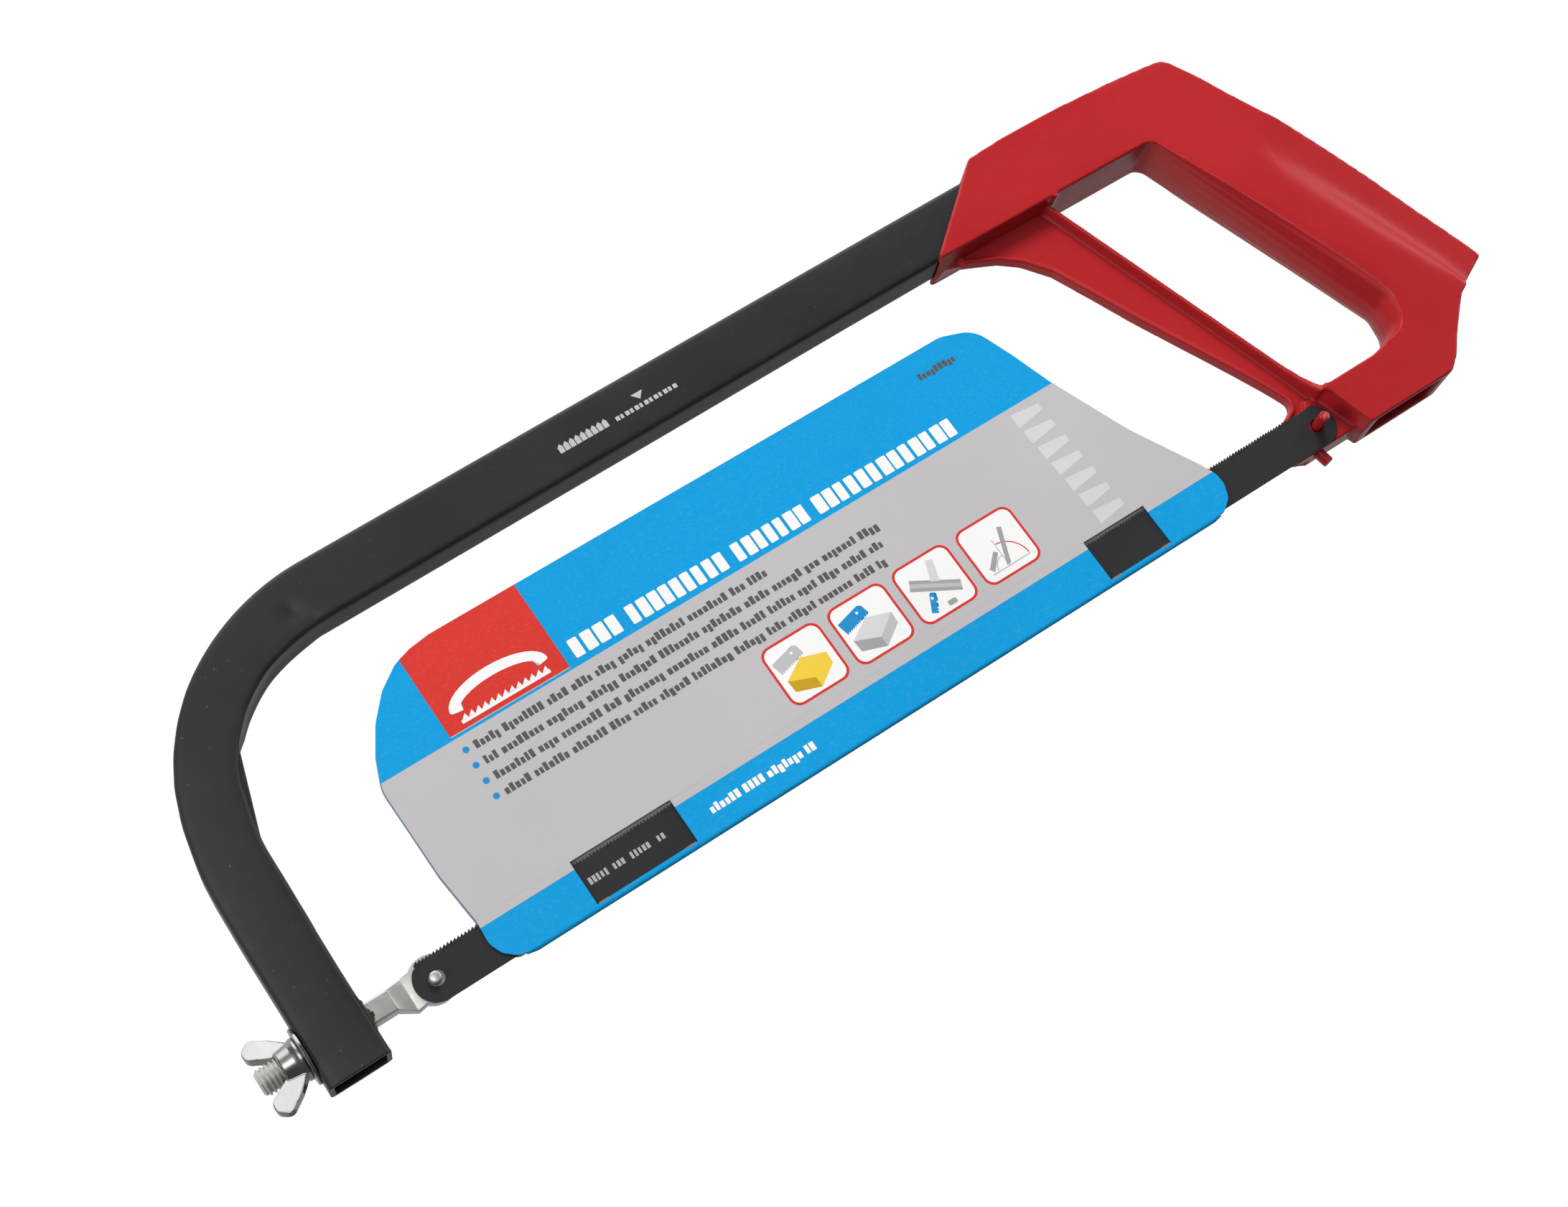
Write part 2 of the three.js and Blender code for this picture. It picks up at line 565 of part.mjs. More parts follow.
// ---------- washer and wing nut ----------
function washer() {
  const hole = rodX(THREAD_R + HOLE_GAP, WASHER_X0 - 1, WASHER_X1 + 1, AXIS_Z, 28);
  return toGeometry(cut(rodX(WASHER_R, WASHER_X0, WASHER_X1, AXIS_Z, 36), hole));
}

function wingNut() {
  const base = NUT_BASE_X;
  const top = NUT_TOP_X;
  const hub = [        // [x, r]
    [top, 0], [top, 4.75], [top + 0.4, 5.05], [base - 1.9, 5.6], [base - 1.2, 6.1],
    [base - 0.25, 6.1], [base, 5.85], [base, 0],
  ];
  const wing = rounded([
    [base - 0.7, 2.5], [base - 0.7, 5.2], [base - 4.4, 9.6, 5], [base - 9.2, 13.7, 1.8],
    [base - 12.2, 11.3, 2.6], [base - 12.4, 8.0, 2.6], [base - 6.7, 4.2, 1.2], [base - 5.4, 2.5],
  ]);
  const wings = [1, -1].map((side) => slab(wing, -1.25, 1.25, (x, y, z) => {
    const thickness = 1.45 - 0.045 * Math.max(0, z - 3);   // thinner towards the tip
    return [x, y * thickness, side * z];
  }));
  const bore = rodX(THREAD_R + 0.1, top - 10, base + 2, 0);
  const nut = cut(join(latheX(hub, 0, 32), ...wings), bore);
  return toGeometry(nut).rotateX(NUT_TURN).translate(0, 0, AXIS_Z);
}

// ---------- card sleeve: closed outline, slot for the blade, two windows in the -Y leaf ----------
const CARD_OUTLINE = [   // [x, z, corner radius]
  [16, 7], [14.4, 22], [14.0, 50], [17.4, 58.5], [22.2, 66.5], [28.2, 73.2], [35, 77.9],
  [40.5, 79.6], [47, 80.5], [220.5, 81.6, 8], [230.5, 78.2, 9], [235.4, 66], [240.9, 50],
  [250.6, 28], [261.6, 8.5], [263.9, 3.4], [264, 0], [262.2, -4.3], [258.2, -7.2],
  [254.5, -8.0], [25.5, -8.0], [20.2, -6.4], [17.2, -3.8], [15.6, 0],
];
const CARD_WINDOWS_X = [[44.5, 76], [217, 239]];

function cardSleeve() {
  const [y0, y1] = CARD_Y;
  return toGeometry(cut(
    slab(rounded(CARD_OUTLINE), y0, y1),
    box([0, 280], [y0 + CARD_T, y1 - CARD_T], [-6.95, 9]),
    ...CARD_WINDOWS_X.map((span) => box(span, [y0 - 1, y1 - CARD_T], [-6.45, 7.1])),
  ));
}

// ---------- assembly ----------
const root = new THREE.Group();
root.name = 'hacksaw';

function add(name, geometry, material) {
  geometry.translate(-HANG[0], -HANG[1], -HANG[2]);
  geometry.computeVertexNormals();
  const mesh = new THREE.Mesh(geometry, material);
  mesh.name = name;
  root.add(mesh);
}

add('frame_tube', frameTube(), materials.tube);
add('handle', handle(), materials.red);
add('handle_pin', crossPin(), materials.steel);
add('side_blade_pin', bladePin(SIDE_PIN), materials.red);
add('lower_blade_pin', lowerBladePin(), materials.red);
add('blade', blade(), materials.blade);
add('tension_bolt', tensionBolt(), materials.steel);
add('front_blade_pin', bladePin(FRONT_PIN), materials.steel);
add('washer', washer(), materials.zinc);
add('wing_nut', wingNut(), materials.zinc);
add('card_sleeve', cardSleeve(), materials.card);

export default root;
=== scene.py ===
import bpy, bmesh, math, random
import numpy as np
from mathutils import Vector, Matrix

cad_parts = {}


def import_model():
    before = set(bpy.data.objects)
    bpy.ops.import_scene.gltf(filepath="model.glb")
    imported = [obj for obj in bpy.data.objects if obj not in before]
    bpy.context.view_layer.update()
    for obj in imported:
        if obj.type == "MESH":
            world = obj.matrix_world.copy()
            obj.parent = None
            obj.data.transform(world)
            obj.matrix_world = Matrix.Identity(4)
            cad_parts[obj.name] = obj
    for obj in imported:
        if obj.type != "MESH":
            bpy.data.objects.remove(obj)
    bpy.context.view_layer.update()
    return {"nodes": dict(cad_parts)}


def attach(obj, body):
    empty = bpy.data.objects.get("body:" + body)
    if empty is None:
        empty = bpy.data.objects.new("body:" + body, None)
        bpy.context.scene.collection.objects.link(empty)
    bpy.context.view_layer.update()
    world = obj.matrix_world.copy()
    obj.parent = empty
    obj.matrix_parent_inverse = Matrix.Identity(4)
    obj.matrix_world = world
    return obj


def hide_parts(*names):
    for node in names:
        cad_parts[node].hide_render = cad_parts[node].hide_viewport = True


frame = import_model()
MM = 0.001
# pieces are drawn from the centre of the blade's front hole; the row's origin is the hanging face in the finger opening
OFF = Vector((-0.292, 0.0, -0.1009))
def ride(o, body):
    o.data.transform(Matrix.Translation(OFF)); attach(o, body)

# ------------------------------------------------------------------ node helpers
class NT:
    def __init__(self, name):
        self.mat = bpy.data.materials.new(name); self.mat.use_nodes = True
        self.t = self.mat.node_tree; self.t.nodes.clear()
        self.out = self.t.nodes.new("ShaderNodeOutputMaterial")
        self.bsdf = self.t.nodes.new("ShaderNodeBsdfPrincipled")
        self.t.links.new(self.bsdf.outputs[0], self.out.inputs[0])
        sub = self.t.nodes.new("ShaderNodeVectorMath"); sub.operation = "SUBTRACT"; sub.inputs[1].default_value = OFF
        self.t.links.new(self.t.nodes.new("ShaderNodeTexCoord").outputs["Object"], sub.inputs[0]); self.co = sub.outputs[0]
    def link(self, a, b): self.t.links.new(a, b)
    def val(self, sock, v):
        if isinstance(v, bpy.types.NodeSocket): self.link(v, sock)
        elif sock.type == "RGBA" and not isinstance(v, (int, float)) and len(v) == 3: sock.default_value = (*v, 1)
        else: sock.default_value = v
    def math(self, op, a, b=0.0, c=0.0, clamp=False):
        n = self.t.nodes.new("ShaderNodeMath"); n.operation = op; n.use_clamp = clamp
        self.val(n.inputs[0], a); self.val(n.inputs[1], b); self.val(n.inputs[2], c); return n.outputs[0]
    def noise(self, scale, detail=3, rough=0.55, vec=None, dist=0.0):
        n = self.t.nodes.new("ShaderNodeTexNoise"); n.inputs["Scale"].default_value = scale; n.inputs["Detail"].default_value = detail
        n.inputs["Roughness"].default_value = rough; n.inputs["Distortion"].default_value = dist
        self.link(vec if vec is not None else self.co, n.inputs["Vector"]); return n.outputs["Fac"]
    def map(self, scale=(1, 1, 1), rot=(0, 0, 0), loc=(0, 0, 0)):
        n = self.t.nodes.new("ShaderNodeMapping"); n.inputs["Scale"].default_value = scale; n.inputs["Rotation"].default_value = rot; n.inputs["Location"].default_value = loc
        self.link(self.co, n.inputs["Vector"]); return n.outputs[0]
    def ramp(self, fac, stops, interp="LINEAR"):
        n = self.t.nodes.new("ShaderNodeValToRGB"); cr = n.color_ramp; cr.interpolation = interp
        while len(cr.elements) < len(stops): cr.elements.new(0.5)
        for e, (p, c) in zip(cr.elements, stops):
            e.position = p; e.color = (*c, 1) if len(c) == 3 else c
        self.link(fac, n.inputs[0]); return n.outputs[0]
    def rng(self, fac, a, b, c, d):
        n = self.t.nodes.new("ShaderNodeMapRange"); self.val(n.inputs[0], fac)
        for i, v in enumerate((a, b, c, d)): n.inputs[i + 1].default_value = v
        return n.outputs[0]
    def mix(self, fac, a, b, mode="MIX"):
        n = self.t.nodes.new("ShaderNodeMix"); n.data_type = "RGBA"; n.blend_type = mode
        self.val(n.inputs[0], fac); self.val(n.inputs[6], a); self.val(n.inputs[7], b); return n.outputs[2]
    def sep(self, vec=None):
        n = self.t.nodes.new("ShaderNodeSeparateXYZ"); self.link(vec if vec is not None else self.co, n.inputs[0]); return n.outputs
    def bump(self, h, strength, dist, prev=None):
        n = self.t.nodes.new("ShaderNodeBump"); n.inputs["Strength"].default_value = strength; n.inputs["Distance"].default_value = dist
        self.link(h, n.inputs["Height"])
        if prev is not None: self.link(prev, n.inputs["Normal"])
        return n.outputs[0]
    def normal(self, n): self.link(n, self.bsdf.inputs["Normal"])
    def set(self, **kw):
        for k, v in kw.items(): self.val(self.bsdf.inputs[k.replace("_", " ")], v)
    def ao(self, dist, samples=8, inside=False):
        n = self.t.nodes.new("ShaderNodeAmbientOcclusion"); n.inputs["Distance"].default_value = dist; n.samples = samples; n.inside = inside; return n.outputs["AO"]
    def pointy(self):
        return self.t.nodes.new("ShaderNodeNewGeometry").outputs["Pointiness"]

def m_tube():
    m = NT("black_coat")
    fine = m.noise(2600, 2); mid = m.noise(420, 4); big = m.noise(28, 4)
    scr = m.noise(900, 2, vec=m.map(scale=(0.03, 1, 1)))
    col = m.ramp(big, [(0.3, (0.022, 0.0226, 0.0246)), (0.7, (0.030, 0.0308, 0.0334))])
    spk = m.math("GREATER_THAN", m.noise(700, 1), 0.775)
    col = m.mix(m.math("MULTIPLY", spk, 0.35), col, (0.16, 0.16, 0.17))
    edge = m.rng(m.ao(0.0006, 8, True), 0.55, 0.2, 0.0, 1.0)
    wear = m.math("MULTIPLY", edge, m.math("GREATER_THAN", mid, 0.62), clamp=True)
    col = m.mix(m.math("MULTIPLY", wear, 0.25), col, (0.2, 0.2, 0.21))
    m.set(Base_Color=col, Roughness=m.math("ADD", m.rng(mid, 0.2, 0.8, 0.32, 0.42), m.rng(scr, 0.6, 0.9, 0, -0.06)), Specular_IOR_Level=0.38)
    b = m.bump(mid, 0.10, 0.00025); b = m.bump(fine, 0.12, 0.00006, b); b = m.bump(scr, 0.05, 0.00005, b)
    m.normal(b); return m.mat

def m_red(tip_wear_glint=0.0):
    m = NT("red_paint" if not tip_wear_glint else "red_paint_tip_wear_glint")
    fine = m.noise(1900, 2); mid = m.noise(260, 4); big = m.noise(22, 4)
    col = m.ramp(big, [(0.3, (0.42, 0.0165, 0.0205)), (0.7, (0.465, 0.0195, 0.0235))])
    # painted shade: ambient occlusion within 3 mm darkens the red in recesses and creases, multiplied into the base
    # colour
    dark = m.rng(m.ao(0.003, 8), 0.25, 0.85, 0.62, 1.0)
    col = m.mix(1.0, col, m.mix(dark, (0.5, 0.42, 0.42), (1, 1, 1)), "MULTIPLY")
    m.set(Base_Color=col, Roughness=m.rng(mid, 0.2, 0.8, 0.25, 0.33), Specular_IOR_Level=0.40)
    if tip_wear_glint:
        # pale, slightly metallic patches at the pin tips: worn paint, and partly a painted glint
        y = m.sep()[1]; z = m.sep()[2]
        tip = m.math("MAXIMUM", m.rng(y, -0.0088, -0.0096, 0, 1), m.rng(z, -0.0098, -0.0106, 0, 1))
        w = m.math("MULTIPLY", tip, m.math("GREATER_THAN", m.noise(900, 3), 0.56))
        m.val(m.bsdf.inputs["Base Color"], m.mix(w, col, (0.55, 0.20, 0.20)))
        m.val(m.bsdf.inputs["Metallic"], m.math("MULTIPLY", w, 0.25))
    b = m.bump(mid, 0.05, 0.0002); b = m.bump(fine, 0.05, 0.00004, b); b = m.bump(m.noise(60, 3), 0.12, 0.0012, b)
    m.normal(b); return m.mat

def m_steel(name="bright_steel", col=(0.66, 0.65, 0.62), r=(0.26, 0.42), metal=0.85, rough=1.0):
    m = NT(name)
    mid = m.noise(500, 4); big = m.noise(90, 3); fl = m.noise(1500, 2, vec=m.map(scale=(0.15, 1, 1)))
    c = m.mix(m.rng(big, 0.3, 0.7, 0, 1), tuple(x * 0.88 for x in col), col)
    # painted shade: ambient occlusion within 1.2 mm darkens the metal in recesses, multiplied into the base colour
    dark = m.rng(m.ao(0.0012, 8), 0.2, 0.8, 0.35, 1.0)
    c = m.mix(1.0, c, m.mix(dark, (0.35, 0.34, 0.32), (1, 1, 1)), "MULTIPLY")
    m.set(Base_Color=c, Metallic=metal, Roughness=m.rng(mid, 0.25, 0.75, *r))
    b = m.bump(mid, 0.12 * rough, 0.0001); b = m.bump(fl, 0.08 * rough, 0.00004, b); m.normal(b); return m.mat

def m_blade():
    m = NT("blade_black")
    mid = m.noise(520, 4); lon = m.noise(1400, 2, vec=m.map(scale=(0.04, 1, 1))); big = m.noise(30, 3)
    col = m.ramp(big, [(0.3, (0.023, 0.023, 0.025)), (0.7, (0.029, 0.029, 0.031))])
    z = m.sep()[2]
    edge = m.math("MULTIPLY", m.rng(z, 0.0057, 0.0063, 0, 1), m.math("GREATER_THAN", m.noise(1100, 3), 0.53))
    col = m.mix(m.math("MULTIPLY", edge, 0.35), col, (0.25, 0.25, 0.25))
    m.set(Base_Color=col, Roughness=m.rng(mid, 0.2, 0.8, 0.52, 0.64), Specular_IOR_Level=0.3)
    b = m.bump(lon, 0.07, 0.00005); b = m.bump(mid, 0.08, 0.0001, b); m.normal(b); return m.mat

def m_card(name, rgb, gloss=0.34, raw=False):
    m = NT(name)
    fib = m.noise(1600, 3, vec=m.map(scale=(0.5, 1, 1.6))); mid = m.noise(120, 4); big = m.noise(14, 3)
    c = m.mix(m.rng(big, 0.3, 0.7, 0, 1), tuple(x * 0.965 for x in rgb), tuple(min(1, x * 1.03) for x in rgb))
    c = m.mix(m.math("MULTIPLY", m.rng(fib, 0.55, 0.8, 0, 1), 0.05 if not raw else 0.3), c, (0.9, 0.9, 0.9) if not raw else (0.2, 0.12, 0.08))
    m.set(Base_Color=c, Roughness=m.rng(mid, 0.2, 0.8, gloss, gloss + 0.16), Specular_IOR_Level=0.16)
    b = m.bump(fib, 0.06 if not raw else 0.4, 0.00008); b = m.bump(m.noise(9, 2), 0.25, 0.0012, b); m.normal(b); return m.mat

M_TUBE, M_RED, M_PIN = m_tube(), m_red(), m_red(1.0)
M_STEEL, M_BLADE = m_steel(col=(0.88, 0.875, 0.84), metal=0.75), m_blade()
M_ZINC = m_steel("zinc_plate", (0.60, 0.615, 0.605), (0.16, 0.24), 1.0, 0.35)
M_INNER = m_steel("bare_inside", (0.05, 0.048, 0.046), (0.5, 0.7), 0.3)

# ------------------------------------------------------------------ mesh helpers
def obj(name, verts, faces, mats, smooth=True):
    me = bpy.data.meshes.new(name); me.from_pydata([tuple(float(c) * MM for c in v) for v in verts], [], faces)
    me.validate(); me.update()
    o = bpy.data.objects.new(name, me); bpy.context.scene.collection.objects.link(o)
    for m in (mats if isinstance(mats, (list, tuple)) else [mats]): me.materials.append(m)
    if smooth: me.polygons.foreach_set("use_smooth", [True] * len(me.polygons))
    return o

def grid(rings, close_u=True, cap0=False, cap1=False, flip=False, base=0):
    """rings: list of equal-length point lists; returns verts, faces."""
    v = [p for r in rings for p in r]; n = len(rings[0]); f = []
    for i in range(len(rings) - 1):
        for j in range(n if close_u else n - 1):
            a, b = i * n + j, i * n + (j + 1) % n; c, d = b + n, a + n
            f.append((a, b, c, d) if not flip else (d, c, b, a))
    if cap0: f.append(tuple(range(n))[::-1] if not flip else tuple(range(n)))
    if cap1: f.append(tuple((len(rings) - 1) * n + j for j in range(n)) if not flip else tuple((len(rings) - 1) * n + j for j in range(n))[::-1])
    return v, [tuple(x + base for x in q) for q in f]

def join(name, objs):
    bpy.ops.object.select_all(action="DESELECT")
    for o in objs: o.select_set(True)
    bpy.context.view_layer.objects.active = objs[0]; bpy.ops.object.join(); objs[0].name = name; objs[0].data.name = name; return objs[0]

def apply_all(o):
    dg = bpy.context.evaluated_depsgraph_get(); ev = o.evaluated_get(dg); me = bpy.data.meshes.new_from_object(ev)
    o.modifiers.clear(); old = o.data; o.data = me; return o

def fix_normals(o):
    bm = bmesh.new(); bm.from_mesh(o.data); bmesh.ops.recalc_face_normals(bm, faces=bm.faces); bm.to_mesh(o.data); bm.free()

def auto_smooth(o, deg=30):
    bm = bmesh.new(); bm.from_mesh(o.data)
    for e in bm.edges: e.smooth = not (len(e.link_faces) == 2 and e.calc_face_angle(0) > math.radians(deg))
    for f in bm.faces: f.smooth = True
    bm.to_mesh(o.data); bm.free()

def bevel(o, w, seg=3, ang=30):
    md = o.modifiers.new("b", "BEVEL"); md.width = w * MM; md.segments = seg; md.limit_method = "ANGLE"; md.angle_limit = math.radians(ang); md.harden_normals = False
    apply_all(o); auto_smooth(o, 40); return o

def remesh(o, voxel, smooth=6, factor=0.5, deci=None):
    md = o.modifiers.new("r", "REMESH"); md.mode = "VOXEL"; md.voxel_size = voxel * MM; md.adaptivity = 0.0; md.use_smooth_shade = True
    md = o.modifiers.new("s", "SMOOTH"); md.factor = factor; md.iterations = smooth
    if deci: md = o.modifiers.new("d", "DECIMATE"); md.ratio = deci
    apply_all(o); o.data.polygons.foreach_set("use_smooth", [True] * len(o.data.polygons)); return o

def rounded(pts, seg=6):
    out = []; n = len(pts)
    for i, p in enumerate(pts):
        x, y = p[0], p[1]; r = p[2] if len(p) > 2 else 0
        if not r: out.append((x, y)); continue
        ax, ay = pts[i - 1][:2]; bx, by = pts[(i + 1) % n][:2]
        ux, uy, vx, vy = ax - x, ay - y, bx - x, by - y; lu, lv = math.hypot(ux, uy), math.hypot(vx, vy)
        ux, uy, vx, vy = ux / lu, uy / lu, vx / lv, vy / lv
        half = math.acos(max(-1, min(1, ux * vx + uy * vy))) / 2; t = min(r / math.tan(half), lu * .49, lv * .49); rr = t * math.tan(half)
        bl = math.hypot(ux + vx, uy + vy); cx = x + (ux + vx) / bl * rr / math.sin(half); cy = y + (uy + vy) / bl * rr / math.sin(half)
        a0 = math.atan2(y + uy * t - cy, x + ux * t - cx); a1 = math.atan2(y + vy * t - cy, x + vx * t - cx)
        while a1 - a0 > math.pi: a1 -= 2 * math.pi
        while a1 - a0 < -math.pi: a1 += 2 * math.pi
        for k in range(seg + 1): a = a0 + (a1 - a0) * k / seg; out.append((cx + rr * math.cos(a), cy + rr * math.sin(a)))
    return out

def prism(name, pts, y0, y1, mat, smooth=False):
    """outline in X-Z, from y0 to y1"""
    n = len(pts); v = [(x, y0, z) for x, z in pts] + [(x, y1, z) for x, z in pts]
    f = [tuple(range(n)), tuple(range(2 * n - 1, n - 1, -1))] + [(i, n + i, n + (i + 1) % n, (i + 1) % n) for i in range(n)]
    o = obj(name, v, f, mat, smooth); fix_normals(o); return o

def lathe(name, prof, mat, axis="X", seg=64, at=(0, 0, 0)):
    """prof: (distance along axis, radius), closed at both ends"""
    rings = []
    for a, r in prof:
        ring = []
        for k in range(seg):
            t = 2 * math.pi * k / seg; c, s = r * math.cos(t), r * math.sin(t)
            ring.append({"X": (a, c, s), "Y": (c, a, s), "Z": (c, s, a)}[axis])
        rings.append([tuple(p[i] + at[i] for i in range(3)) for p in ring])
    v, f = grid(rings, True, True, True); o = obj(name, v, f, mat); fix_normals(o); auto_smooth(o, 35); return o

# ------------------------------------------------------------------ driving sizes (mm)
TUBE_W, TUBE_D, TUBE_R, WALL = 17.7, 12.0, 1.5, 1.4
LEG_X, LEG_Z0, BEND_R, BEND_Z, SLOPE, TOP_X, PINCH = -28.25, -10.2, 57.5, 49.0, 0.0153, 303.0, 0.25
TH = math.atan(SLOPE); BA = math.pi / 2 - TH; CX = LEG_X + BEND_R; L1 = BEND_Z - LEG_Z0; L2 = BEND_R * BA
BX = CX - BEND_R * math.cos(BA); BZ = BEND_Z + BEND_R * math.sin(BA); L3 = (TOP_X - BX) / math.cos(TH); LT = L1 + L2 + L3
AXZ = 1.3; LEG_OUT, LEG_IN = LEG_X - TUBE_W / 2, LEG_X + TUBE_W / 2

def along(s):
    if s <= L1: return (LEG_X, LEG_Z0 + s), (0, 1), (-1, 0), 0
    if s <= L1 + L2:
        a = (s - L1) / BEND_R
        return (CX - BEND_R * math.cos(a), BEND_Z + BEND_R * math.sin(a)), (math.sin(a), math.cos(a)), (-math.cos(a), math.sin(a)), (s - L1) / L2
    u = s - L1 - L2
    return (BX + u * math.cos(TH), BZ + u * math.sin(TH)), (math.cos(TH), math.sin(TH)), (-math.sin(TH), math.cos(TH)), 0

def section(w, d, r, n_arc=6, n_w=8, n_d=5):
    """rounded rectangle, dense along its sides; list of (a in plane, b across)"""
    out = []
    cor = [(-1, -1, math.pi), (1, -1, -math.pi / 2), (1, 1, 0), (-1, 1, math.pi / 2)]
    for i, (sa, sb, a0) in enumerate(cor):
        ca, cb = sa * (w / 2 - r), sb * (d / 2 - r)
        for k in range(n_arc + 1):
            a = a0 + math.pi / 2 * k / n_arc; out.append((ca + r * math.cos(a), cb + r * math.sin(a)))
        na, nb, a1 = cor[(i + 1) % 4]
        p, q = out[-1], (na * (w / 2 - r) + r * math.cos(a1), nb * (d / 2 - r) + r * math.sin(a1))
        n = n_w if i in (0, 2) else n_d
        for k in range(1, n): out.append((p[0] + (q[0] - p[0]) * k / n, p[1] + (q[1] - p[1]) * k / n))
    return out

STRAY = [(0, 0, 0), (25, 0, 0), (34, -0.1, 0), (42, -0.35, 0), (55, -0.55, -0.2), (63, -0.6, -0.5), (70, 0.1, -0.75), (79.3, 1.0, -0.43), (87, 1.6, 0.05), (95, 0.6, 0.4), (103, -0.4, 0.65), (109.4, -0.35, 0.84), (124.4, 0.15, 0.82), (148.5, 0.42, 0.92),
    (178, 0.44, 0.98), (238, 0.5, 1.0), (328, 0.7, 1.12), (999, 0.7, 1.12)]
def stray(s, a):
    """how far the bent wall strays outwards, a: -1 inner side ... +1 outer side"""
    i = 0
    while i < len(STRAY) - 2 and STRAY[i + 1][0] < s: i += 1
    s0, p0, q0 = STRAY[i]; s1, p1, q1 = STRAY[i + 1]; k = min(1, max(0, (s - s0) / (s1 - s0))); k = k * k * (3 - 2 * k); t = (a + 1) / 2
    return (p0 + (p1 - p0) * k) * (1 - t) + (q0 + (q1 - q0) * k) * t
NEAR = [(0, 0), (63, 0), (70, 1.0), (79, 2.3), (87, 2.4), (95, 1.3), (103, 0.2), (109, 0), (999, 0)]
def near_in(s):
    """the near half of the inside wall is drawn in less than the far half"""
    i = 0
    while i < len(NEAR) - 2 and NEAR[i + 1][0] < s: i += 1
    s0, p0 = NEAR[i]; s1, p1 = NEAR[i + 1]; k = min(1, max(0, (s - s0) / (s1 - s0))); k = k * k * (3 - 2 * k); return p0 + (p1 - p0) * k
CROWN = 0.22
def crown(a): return CROWN * max(0.0, 1 - (a / (TUBE_W / 2 - 0.8)) ** 2)

def tube_pt(s, a, b, outer=True):
    q, t, n, u = along(min(max(s, 0), LT)); over = s if s < 0 else (s - LT if s > LT else 0)
    k = math.sin(math.pi * u) ** 2; a0 = a
    if a < 0: a *= 1 - PINCH * k
    a += stray(s, a0 / (TUBE_W / 2))
    if a0 < 0: a -= near_in(s) * (-a0 / (TUBE_W / 2)) * min(1, max(0, (1 - b / (TUBE_D / 2)) / 2))
    if outer: b += crown(a0) * (b / (TUBE_D / 2))
    if outer:
        # the walls bulge a touch where the tube is bent, and the inside wall is drawn in hollow
        b *= 1 + 0.018 * k
        if a0 < 0: a += 0.55 * k * max(0, 1 - (b / 5.0) ** 2) * min(1, -a0 / 6)
    x, z = q[0] + n[0] * a + t[0] * over, q[1] + n[1] * a + t[1] * over
    y = b
    if outer:
        # pucker pressed into the near face where the bend ends, and a wavy kink in the inner edge
        d = math.exp(-(((x - 19.5) / 2.6) ** 2 + ((z - 103.6) / 2.6) ** 2))
        e = math.exp(-(((x - 23.0) / 2.2) ** 2 + ((z - 99.2) / 1.3) ** 2))
        if y < -3: y += 0.75 * d - 0.0 * e
        z += 0.55 * e * (1 if z < 102 else 0); y += 0.35 * e * (1 if y < 0 else 0)
    return (x, y, z)

# ------------------------------------------------------------------ frame tube
def build_tube():
    st = [0.0, 0.12, 0.3, 0.6, 1.2]
    s = 3.0
    while s < L1: st.append(s); s += 3.0
    nb = 150
    st += [L1 + L2 * i / nb for i in range(nb + 1)]
    s = L1 + L2 + 0.4
    while s < L1 + L2 + 12: st.append(s); s += 0.5
    while s < LT: st.append(s); s += 4.0
    st.append(LT)
    sec = section(TUBE_W, TUBE_D, TUBE_R); si = section(TUBE_W - 2 * WALL, TUBE_D - 2 * WALL, 0.6)
    rings = []
    for s in st:
        shr = {0.0: 0.16, 0.12: 0.05}.get(s, 0.0)
        fl = 0.10 * math.exp(-s / 1.2)
        rings.append([tube_pt(s, a * (1 + 2 * (fl - shr) / TUBE_W), b * (1 + 2 * (fl - shr) / TUBE_D)) for a, b in sec])
    inner = [[tube_pt(s, a * k, b * k, False) for a, b in si] for s, k in ((100, 0.98), (60, 1), (30, 1), (8, 1), (1, 1), (0.25, 1.0), (0.06, 1.015), (0.0, 1.04))]
    allr = inner + rings
    v, f = grid(allr, True, True, True, flip=False)
    o = obj("tube_body", v, f, [M_TUBE]); fix_normals(o); auto_smooth(o, 50)
    # torn collar thrown up round the square hole
    r = random.Random(11); n = 168; rows = 9
    hs = []
    ph = [r.random() * 6.28 for _ in range(8)]
    for k in range(n):
        t = 2 * math.pi * k / n
        g = math.exp(-((math.degrees(t) - 188) / 24) ** 4)
        h = 0.36 + 0.1 * math.sin(7 * t + ph[1]) + 0.07 * math.sin(23 * t + ph[3]) + g * (0.85 + 0.22 * math.sin(12 * t + ph[2]) + 0.15 * math.sin(31 * t + ph[0]))
        hs.append(max(0.2, min(1.45, h)))
    def P(t, rad):
        c, q = math.cos(t), math.sin(t); kk = 1 / max(abs(c), abs(q)); m = 0.4 + 0.6 * kk; return rad * c * m, rad * q * m
    rg = []
    prof = [(3.55, -0.6, 0), (3.55, 0.0, .05), (3.62, 0, .5), (3.75, 0, .93), (3.95, 0, 1.0), (4.22, 0, .93), (4.5, 0, .55), (4.95, 0.0, .14), (5.9, -0.02, 0.0), (6.4, -0.35, 0.0)]
    for (rad, dx, hk) in prof:
        ring = []
        for k in range(n):
            t = 2 * math.pi * k / n; jit = 0.16 * math.sin(31 * t + ph[4]) * hk + 0.12 * math.sin(17 * t + ph[5])
            py, pz = P(t, rad + jit * (0.3 + hk)); lim = 5.6
            py = max(-lim, min(lim, py))
            ring.append((LEG_IN + dx + hs[k] * hk, py, AXZ + pz))
        rg.append(ring)
    v, f = grid(rg, True, False, False)
    c = obj("collar", v, f, [M_TUBE]); fix_normals(c); auto_smooth(c, 28)
    t = join("vis_frame_tube", [o, c, build_mark()]); ride(t, "frame"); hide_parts("frame_tube"); return t

